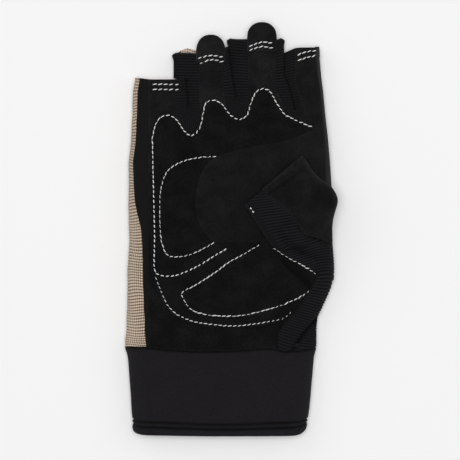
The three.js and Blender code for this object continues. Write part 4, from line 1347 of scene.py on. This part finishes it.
add_cloth("thumb_back_suede", [thumb_back], THUMB_SUEDE, "thumb_back", "suede")
thumb_gusset = [
    thumb_knit_grid(np.linspace(0, 0.985, 230), False),
    flipped(thumb_knit_grid(np.linspace(0.5, 0.985, 120), True)),
    thumb_root_grid(),
]
add_cloth("thumb_gusset_knit", thumb_gusset, BLACK_KNIT, "thumb_gusset", "black_knit", wall=1.1)

cuff, cuff_ys = cuff_grid()
split = int(np.searchsorted(cuff_ys, CUFF_SPLIT))
for name, node, rows in (
    ("cuff_elastic", "cuff_band", slice(split, None)),
    ("cuff_bound_edge", "cuff_binding", slice(0, split + 1)),
):
    part = {key: value[rows] for key, value in cuff.items()}
    add_cloth(name, [part], ELASTIC, node, "elastic", wall=1.7, roll=0.1, radius=0.8)

PALM_FACE = [
    "palm_suede", "overlay_suede_layer", "outer_quilted_pad", "heel_quilted_pad", "smooth_palm_patch",
    "ring_pull_tab_suede", "middle_pull_tab_suede", "gusset_little_ring_knit", "gusset_ring_middle_knit",
    "gusset_middle_index_knit", "thumb_gusset_knit", "wrist_gusset_knit",
]
for name, lines, shape in (
    ("white_stitches", ["outer_edge"], {}),
    ("white_edge_stitches", ["lower_edge"], {"radius": 0.22, "fade": 24}),
    ("white_root_stitches", ["finger_roots"], {"length": 2.65, "radius": 0.27}),
    ("white_pad_stitches", ["outer_pad"], {"radius": 0.24}),
    ("white_tight_stitches", ["heel_pad", "thumb_root"], {"length": 2.75, "fade": 8}),
):
    add_stitches(name, [STITCH_LINES[line] for line in lines], PALM_FACE, **shape)
add_stitches("white_hem_stitches", STITCH_ROWS, PALM_FACE, pitch=2.75, length=2.4, slant=12)
add_stitches(
    "white_thumb_stitches", THUMB_STITCHES, ["thumb_gusset_knit", "thumb_front_suede"],
    pitch=1.8, length=1.2, radius=0.42,
)

# ---------------------------------------------------------------- floor, light and camera

FLOOR_HALF = 2.5
FLOOR_DROP = 0.0004
CAMERA_HEIGHT = 1.5
VIEW_WIDTH = 0.230  # metres across the picture, at HAND_MIDDLE above the floor
HAND_MIDDLE = 0.015
SENSOR = 36

scene = bpy.context.scene


def add_object(name, data, location):
    made = bpy.data.objects.new(name, data)
    made.location = location
    scene.collection.objects.link(made)
    return made


def add_light(name, location, size, power):
    data = bpy.data.lights.new(name, "AREA")
    data.shape = "SQUARE"
    data.size = size
    data.energy = power
    light = add_object(name, data, location)
    light.rotation_euler = (-Vector(location)).to_track_quat("-Z", "Y").to_euler()


floor_mesh = bpy.data.meshes.new("floor")
corners = [(x * FLOOR_HALF, y * FLOOR_HALF, 0) for x, y in ((-1, -1), (1, -1), (1, 1), (-1, 1))]
floor_mesh.from_pydata(corners, [], [(0, 1, 2, 3)])
pale = Surface("pale_floor", 0.9, 0.1)
pale.shader.inputs["Base Color"].default_value = (0.86, 0.86, 0.86, 1)
floor_mesh.materials.append(pale.material)
floor = add_object("floor", floor_mesh, (0, 0, -FLOOR_DROP))

scene.view_settings.view_transform = "Standard"
scene.view_settings.look = "None"
world = bpy.data.worlds.new("studio")
scene.world = world
world.use_nodes = True
world.node_tree.nodes["Background"].inputs["Color"].default_value = (1, 1, 1, 1)
world.node_tree.nodes["Background"].inputs["Strength"].default_value = 0.18

add_light("overhead", (-0.03, 0.05, 3.0), 1.3, 69)
add_light("soft_left", (-1.1, 0.9, 1.3), 1.6, 5.5)
add_light("soft_right", (1.3, 0.5, 1.2), 1.5, 4.5)

camera_data = bpy.data.cameras.new("camera")
camera_data.sensor_width = SENSOR
camera_data.lens = SENSOR / VIEW_WIDTH * (CAMERA_HEIGHT - HAND_MIDDLE)
camera_data.clip_start, camera_data.clip_end = 0.1, 20
scene.camera = add_object("camera", camera_data, (-0.0005, -0.00025, CAMERA_HEIGHT))
